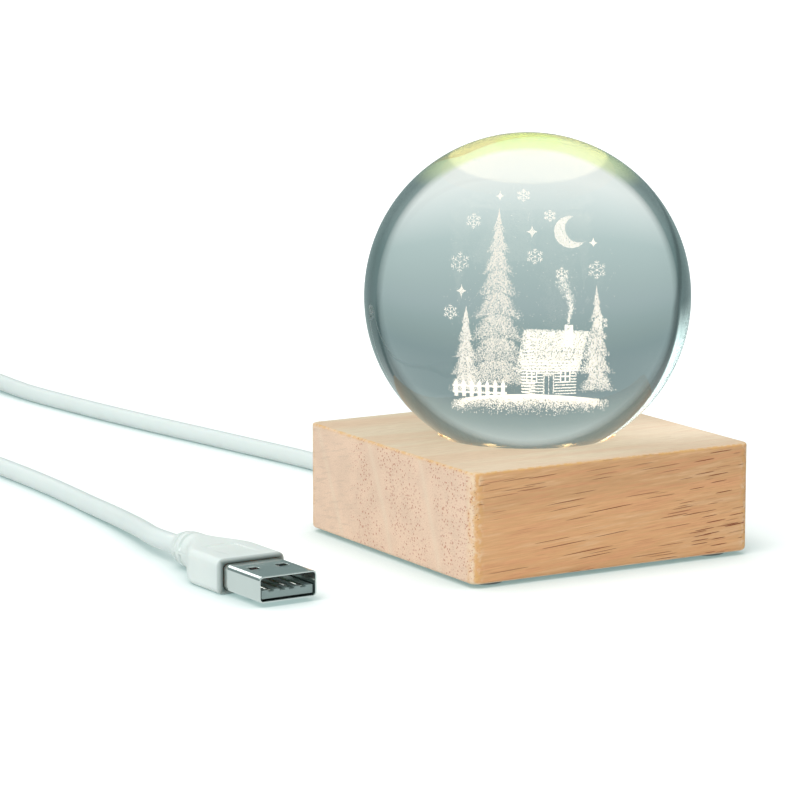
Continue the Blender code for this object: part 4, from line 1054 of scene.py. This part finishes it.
def make_lead(with_pieces):
    """The lead as one smooth line from the base, through the coil, into the plug's boot."""
    coil = coil_line()
    entry = in_plug_frame(np.array([(0, y, PLUG_AXIS + BOOT_LIFT) for y in (0.0279, 0.0266)]))
    before = (0, 0.0003, 0)
    first = smooth_route([CORD_START, *LEAD_ROUTE, coil[0] - before], 0.002)
    last = smooth_route([coil[-1] - before, *TAIL_ROUTE, *entry], 0.002)
    route = np.vstack([first, coil, last])
    data = bpy.data.curves.new("lead", "CURVE")
    data.dimensions = "3D"
    data.bevel_depth = sizes().cord_diameter / 2
    data.bevel_resolution = 7
    data.use_fill_caps = True
    spline = data.splines.new("POLY")
    spline.points.add(len(route) - 1)
    spline.points.foreach_set("co", np.hstack([route, np.ones((len(route), 1))]).ravel())
    spline.use_smooth = True
    jacket = plastic("white lead jacket", colours().jacket, (0.31, 0.42), 2600.0, 0.000004, subsurface_weight=0.06)
    lead = piece("lead", data, jacket, "base", "cord_jacket", "cord_lead", "cord_coil", "cord_tail")
    for shown in (lead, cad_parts["coil_tie_1"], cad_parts["coil_tie_2"]):
        hidden(shown, "transmission")


def moulding_rows():
    """(place along Y, (half width, half height, corner), groove share) down the plug's moulding.

    The front edge is a quarter circle, the body is straight and then tapers by a smooth step to
    the round boot, whose radius shrinks with the cube of the place, and each groove of the boot
    sinks by a smooth bump.
    """
    body, oval = np.array((*BODY_HALF, BODY_CORNER)), np.array((0.0, BOOT_OVAL, 0.0))
    front, tip_round = sizes().moulding_front_round, BOOT_TIP - BOOT_TO
    rows = []
    for t in np.linspace(0, 0.5 * math.pi, 7):
        inset = front * (1 - math.sin(t)) * np.array((1, 1, 0.5))
        rows.append((front * (1 - math.cos(t)), body - inset, 0.0))
    rows += [(y, body, 0.0) for y in (0.0030, 0.0033, 0.0036, 0.006, 0.009)]
    for y in sorted([*np.linspace(TAPER_FROM, TAPER_TO, 56), 0.01252, 0.01268]):
        share = smooth_step((y - TAPER_FROM) / (TAPER_TO - TAPER_FROM))
        rows.append((y, body + share * (BOOT_RADIUS + oval - body), 0.0))
    for y in np.linspace(BOOT_FROM, BOOT_TO, 62):
        radius = BOOT_RADIUS - 0.0009 * ((y - TAPER_TO) / (BOOT_TIP - TAPER_TO)) ** 3
        groove = max(1 - min(1.0, abs(y - middle) / GROOVE_HALF) ** 6 for middle in GROOVES)
        rows.append((y, radius + oval, groove))
    for t in np.linspace(0, 0.5 * math.pi, 5)[1:]:
        rows.append((BOOT_TO + tip_round * math.sin(t), radius - tip_round * (1 - math.cos(t)) + oval, 0.0))
    return rows


def plug_outline(half_width, half_height, corner):
    """A cross section of the plug, with close columns where the parting line and the panel's sides run."""
    sides = (0, 0.2, 0.38, 0.462, 0.482, 0.518, 0.538, 0.62, 0.8, 1)
    half = (0, 0.08, 0.15, 0.212, 0.226, 0.28, 0.35, 0.42, 0.5)
    levels = (*half, *(1 - share for share in half[-2::-1]))
    corner = min(corner, 0.97 * half_width, 0.97 * half_height)
    return rounded_outline(half_width, half_height, corner, (sides, levels), 10)[0]


def in_plug(recipe):
    """Where a point lies in the plug's own frame: its X, Y and Z from the plug's axis."""
    turned_back = {"Vector": recipe.place, "Location": (*PLUG_PLACE[:2], PLUG_AXIS), "Rotation": (0, 0, PLUG_TURN)}
    return recipe.parts(recipe.value("Mapping", turned_back, vector_type="TEXTURE"))


def painted_front_shade(recipe):
    """The share and the tone of painted shade on the moulding's front face, strongest close to the metal shell."""
    x, y, z = in_plug(recipe)
    beside = recipe.math("MAXIMUM", abs(x) - SHELL_HALF[0], abs(z) - SHELL_HALF[1])
    front = recipe.span(y, 0.0002, 0.0011, 1.0, 0.0) * recipe.span(beside, 0.0003, 0.0013, 1.0, 0.45)
    return front * 0.95, (0.07, 0.11, 0.105)


def make_moulding():
    """The plug's moulding: cross sections carried along its axis, in from the socket and out to the boot.

    The socket fits the shell and widens at its mouth, so a dark gap shows round the shell. Two
    rings at the end are the hole for the lead.
    """
    rows = moulding_rows()
    socket = plug_outline(0.0061, 0.00235, 0.0007)
    mouth = plug_outline(0.00640, 0.00262, 0.00095)
    face = plug_outline(*rows[0][1])
    rings = [(socket, 0.0053, 0.0), (socket, 0.0016, 0.0), (mouth, 0.0014, 0.0), (mouth, 0.00008, 0.0)]
    rings += [(mouth + share * (face - mouth), 0.0, 0.0) for share in (0.08, 0.5)]
    rings += [(plug_outline(*size), y, groove) for y, size, groove in rows]
    hole = HOLE_RADIUS * np.exp(1j * np.angle(rings[-1][0]))
    rings += [(hole, BOOT_TIP, 0.0), (hole, BOOT_TIP - HOLE_DEPTH, 0.0)]
    flat = np.stack([ring[0] for ring in rings])
    y, groove = np.array([ring[1:] for ring in rings]).T[..., None]
    x, z = flat.real, flat.imag
    groove = groove * np.clip((np.abs(z) / 0.0032 - 0.20) / 0.12, 0, 1)
    shrink = 1 - groove * GROOVE_DEPTH / np.maximum(np.abs(flat), 0.001)
    body = (np.arange(len(rings))[:, None] > 6) & (y > 0.0005) & (y < BOOT_TO)
    seam = body & (np.abs(z) < 0.00007) & (np.abs(x) > 0.0024)
    x = x * shrink - SEAM_DEPTH * np.sign(x) * seam
    inside = np.abs(x) < 0.455 * np.abs(x).max(axis=1, keepdims=True)
    panel = np.clip((y - PANEL_FROM) / 0.0092, 0, 1) ** 0.8 * (y < PANEL_TO) * inside
    z = z * shrink - PANEL_DEPTH * panel * (z > 0.0015) * body
    z = z + BOOT_LIFT * smooth_step((y - TAPER_FROM) / (TAPER_TO - TAPER_FROM))
    points = in_plug_frame(points_at(x, y, z + PLUG_AXIS))
    mesh = turned_out(mesh_from("plug_moulding", *closed(points)))
    white = plastic(
        "white plug moulding", colours().moulding, (0.46, 0.56), 3800.0, 0.000005, painted_front_shade, subsurface_weight=0.04
    )
    return piece("plug_moulding", mesh, white, "base", "plug_moulding", "plug_housing", sharp=38)


def dark_inside(recipe):
    """The share and the tone of painted shade on the shell's inner faces, where little light gets in."""
    x, y, z = in_plug(recipe)
    deep = recipe.math("MINIMUM", 0.00585 - abs(x), 0.00210 - abs(z))
    inside = recipe.span(deep, 0.0, 0.0001) * recipe.span(y, -0.0135, -0.0128, 0.0, 0.65)
    return inside * recipe.span(z, 0.0017 - PLUG_AXIS, 0.0026 - PLUG_AXIS), shaded(colours().nickel, 0.15)


def make_shell():
    """The plug's shell: a rounded outline carried along its axis, without the faces at the ports."""
    columns = (-4.25, -2.05, 0, 2.05, 4.25)
    flats = (0.0, *((5.4 + x) / 10.8 for x in columns), 1.0)
    outline = rounded_outline(*SHELL_HALF, 0.0006, (4, flats), 6)[0]
    rows = np.array((SHELL_FRONT_MM, -13.4, -11.0, -9.0, -7.05, -4.55, -2.5, 0.0, 2.5, 5.0)) * MM
    grid = points_at(outline.real, rows[:, None], outline.imag + PLUG_AXIS)
    faces = grid_faces(len(rows), len(outline))
    x, y, z = grid.reshape(-1, 3)[faces].mean(axis=1).T
    port = (np.abs(np.abs(x) - 0.00315) < 0.0011) & (y > rows[4]) & (y < rows[5]) & (np.abs(z - PLUG_AXIS) > 0.0022)
    mesh = mesh_from("plug_metal_shell", in_plug_frame(grid), faces[~port])
    nickel = plated("nickel plate", colours().nickel, painted_shade=dark_inside)
    shell = piece("plug_metal_shell", mesh, nickel, "base", "plug_shell", "plug_shell")
    modified(shell, "SOLIDIFY", thickness=sizes().shell_wall, offset=-1.0, use_even_offset=True)
    modified(shell, "BEVEL", width=0.00006, segments=2, angle_limit=math.radians(50))
    shell.data.shade_smooth()
    sharpened(shell.data, 35)
    return shell


def make_contacts():
    """The four contacts: strips whose top is a low arch across, and whose front end bends down.

    The strips are drawn in millimetres in the plug's frame.
    """
    turn = np.linspace(-1, 1, 15)
    x = np.concatenate([0.5 * turn, [0.5, -0.5]])
    z = np.concatenate([3.26 - 0.16 * turn**2, [3.0, 3.0]])
    on_top = np.concatenate([np.ones(len(turn)), [0.0, 0.0]])
    grids = []
    for place, setback in ((3.5, 1.2), (1.0, 2.2), (-1.0, 2.2), (-3.5, 1.2)):
        start = setback + SHELL_FRONT_MM
        rows = np.concatenate([start + np.array((0.0, 0.06, 0.18, 0.4, 0.8)), np.linspace(start + 2, 4.8, 6)])[:, None]
        dip = 0.08 * np.clip(1 - (rows - start) / 0.45, 0, 1) ** 2
        grids.append(in_plug_frame(MM * points_at(place + x, rows, z - dip * on_top)))
    mesh = turned_out(mesh_from("plug_contacts", *closed(*grids)))
    metal = plated("plated contacts", (0.93, 0.92, 0.86), stretch=(2600.0, 60.0, 2600.0))
    return piece("plug_contacts", mesh, metal, "base", "plug_contact", *numbered("plug_contact", 4), sharp=40)


# Finishes of the solids that keep their shape


def finish_nodes(material, *names):
    """Give CAD nodes a material."""
    for name in names:
        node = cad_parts[name]
        if not node.material_slots:
            node.data.materials.append(None)
        for slot in node.material_slots:
            slot.link = "OBJECT"
            slot.material = material


def numbered(name, count):
    """The names of a run of like nodes."""
    return [f"{name}_{i + 1}" for i in range(count)]


def window_material():
    """Frosted plastic lit from below, a little brighter over each LED."""
    recipe = Recipe("frosted window")
    x, y, _ = recipe.parts(recipe.place)
    spots = recipe.math("COSINE", recipe.math("ARCTAN2", y, x) * 6.0)
    led_circle = 0.0058
    near = 1.0 - recipe.span(abs(recipe.off_axis(recipe.place) - led_circle), 0.0, 0.004)
    bright = (spots * 0.5 + 0.5) * near
    glow = recipe.mix(bright, colours().window, (1.0, 0.99, 0.92))
    recipe.finish(emission_color=glow, emission_strength=bright * 0.25 + 0.75)
    return recipe.coat((0.92, 0.90, 0.84), recipe.noise(recipe.place, 4200.0, 2.0), (0.42, 0.55), 0.000008)


def led_material():
    """A small chip of glowing yellow phosphor, whose rim is white."""
    board, rim = 0.01292, 0.01368
    recipe = Recipe("LED", roughness=0.38, emission_strength=0.8)
    high = recipe.span(recipe.parts(recipe.place)[2], board, rim)
    grain = recipe.noise(recipe.place, 6000.0, 2.0)
    phosphor = recipe.mix(grain, (0.95, 0.82, 0.22), (0.98, 0.88, 0.36))
    return recipe.finish(base_color=recipe.mix(high, phosphor, (0.90, 0.89, 0.84)), emission_color=phosphor)


def finish_light():
    """The window, the holder, the board and its parts."""
    finish_nodes(window_material(), "light_window")
    finish_nodes(plastic("white holder plastic", (0.80, 0.80, 0.78)), "led_holder")
    finish_nodes(plastic("white board lacquer", (0.72, 0.76, 0.72), (0.29, 0.40), 1500.0, 0.00001), "led_board")
    finish_nodes(led_material(), *numbered("led", 6))
    finish_nodes(plastic("black chip body", (0.022, 0.022, 0.022), (0.40, 0.51)), *numbered("resistor", 2))
    finish_nodes(plastic("red wire", (0.52, 0.03, 0.02), (0.29, 0.40)), "wire_red")
    finish_nodes(plastic("black wire", (0.018, 0.018, 0.018), (0.29, 0.40)), "wire_black")
    finish_nodes(plastic("inner lead jacket", colours().jacket, (0.33, 0.44)), "cord_inner")
    finish_nodes(plastic("white strap", (0.78, 0.80, 0.78), (0.31, 0.42)), "strain_tie", "coil_tie_1", "coil_tie_2")


def finish_underside():
    """The cover, the screws and the pads."""
    finish_nodes(plastic("cover plastic", (0.79, 0.80, 0.78), (0.45, 0.56), 2400.0, 0.00002), "bottom_cover")
    steel = plated("zinc-plated steel", (0.62, 0.64, 0.66), (0.26, 0.39), (1500.0, 1500.0, 1500.0), 0.000003)
    finish_nodes(steel, *numbered("holder_screw", 3), *numbered("cover_screw", 4))
    finish_nodes(plastic("soft grey pad", (0.36, 0.37, 0.38), (0.57, 0.68), 1800.0, 0.00002), *numbered("foot_pad", 4))


# Operators, panel and the run


class LampOperator:
    """What the lamp's operators share."""

    bl_options = {"REGISTER", "UNDO"}


class LAMP_OT_stage(LampOperator, bpy.types.Operator):
    """Set up the camera, the studio and the floor"""

    bl_idname = "lamp.stage"
    bl_label = "Stage and Camera"

    def execute(self, context):
        make_camera()
        make_world()
        make_stage()
        make_lights()
        return {"FINISHED"}


class LAMP_OT_lead(LampOperator, bpy.types.Operator):
    """Lay the lead with its coil, and make the plug at its end"""

    bl_idname = "lamp.lead"
    bl_label = "Lead and Plug"

    def execute(self, context):
        finish_nodes(plastic("grey insulator", (0.27, 0.35, 0.34), (0.35, 0.46)), "plug_tongue")
        nodes = ("coil_tie_1", "coil_tie_2", "plug_tongue")
        make_lead([make_moulding(), make_shell(), make_contacts(), *(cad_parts[name] for name in nodes)])
        return {"FINISHED"}


class LAMP_OT_ball(LampOperator, bpy.types.Operator):
    """Make the clear glass ball"""

    bl_idname = "lamp.ball"
    bl_label = "Glass Ball"

    def execute(self, context):
        make_ball()
        return {"FINISHED"}


class LAMP_OT_engraving(LampOperator, bpy.types.Operator):
    """Draw the winter scene of dots inside the glass"""

    bl_idname = "lamp.engraving"
    bl_label = "Engraving"

    def execute(self, context):
        make_engraving()
        return {"FINISHED"}


class LAMP_OT_wood(LampOperator, bpy.types.Operator):
    """Make the wooden base with its bore and holes"""

    bl_idname = "lamp.wood"
    bl_label = "Wooden Base"

    def execute(self, context):
        make_wood()
        return {"FINISHED"}


class LAMP_OT_light(LampOperator, bpy.types.Operator):
    """Finish the window, the lamp board and the wiring"""

    bl_idname = "lamp.light"
    bl_label = "Light and Wiring"

    def execute(self, context):
        finish_light()
        return {"FINISHED"}


class LAMP_OT_underside(LampOperator, bpy.types.Operator):
    """Finish the cover, the screws and the pads under the base"""

    bl_idname = "lamp.underside"
    bl_label = "Underside"

    def execute(self, context):
        finish_underside()
        return {"FINISHED"}


STEPS = (
    LAMP_OT_stage,
    LAMP_OT_lead,
    LAMP_OT_ball,
    LAMP_OT_engraving,
    LAMP_OT_wood,
    LAMP_OT_light,
    LAMP_OT_underside,
)


class LAMP_PT_panel(bpy.types.Panel):
    """The lamp's sizes, colours and steps in the sidebar"""

    bl_idname = "LAMP_PT_panel"
    bl_label = "Crystal Ball Lamp"
    bl_space_type = "VIEW_3D"
    bl_region_type = "UI"
    bl_category = "Lamp"

    def draw(self, context):
        layout = self.layout
        for group in (context.scene.lamp_sizes, context.scene.lamp_colours):
            box = layout.box()
            for name in group.bl_rna.properties.keys():
                if name not in ("rna_type", "name"):
                    box.prop(group, name)
        for step in STEPS:
            layout.operator(step.bl_idname)


CLASSES = (LampSizes, LampColours, *STEPS, LAMP_PT_panel)


def register():
    """Register the classes and hang the settings on the scene."""
    for made in CLASSES:
        bpy.utils.register_class(made)
    bpy.types.Scene.lamp_sizes = bpy.props.PointerProperty(type=LampSizes)
    bpy.types.Scene.lamp_colours = bpy.props.PointerProperty(type=LampColours)


def unregister():
    """Take the settings and the classes away again."""
    del bpy.types.Scene.lamp_colours
    del bpy.types.Scene.lamp_sizes
    for made in reversed(CLASSES):
        bpy.utils.unregister_class(made)


def main():
    """Build the lamp step by step."""
    register()
    scene = bpy.context.scene
    scene.view_settings.view_transform = "Standard"
    for step in STEPS:
        space, name = step.bl_idname.split(".")
        if getattr(getattr(bpy.ops, space), name)() != {"FINISHED"}:
            raise RuntimeError(f"{step.bl_label} didn't finish")


if __name__ == "__main__":
    main()
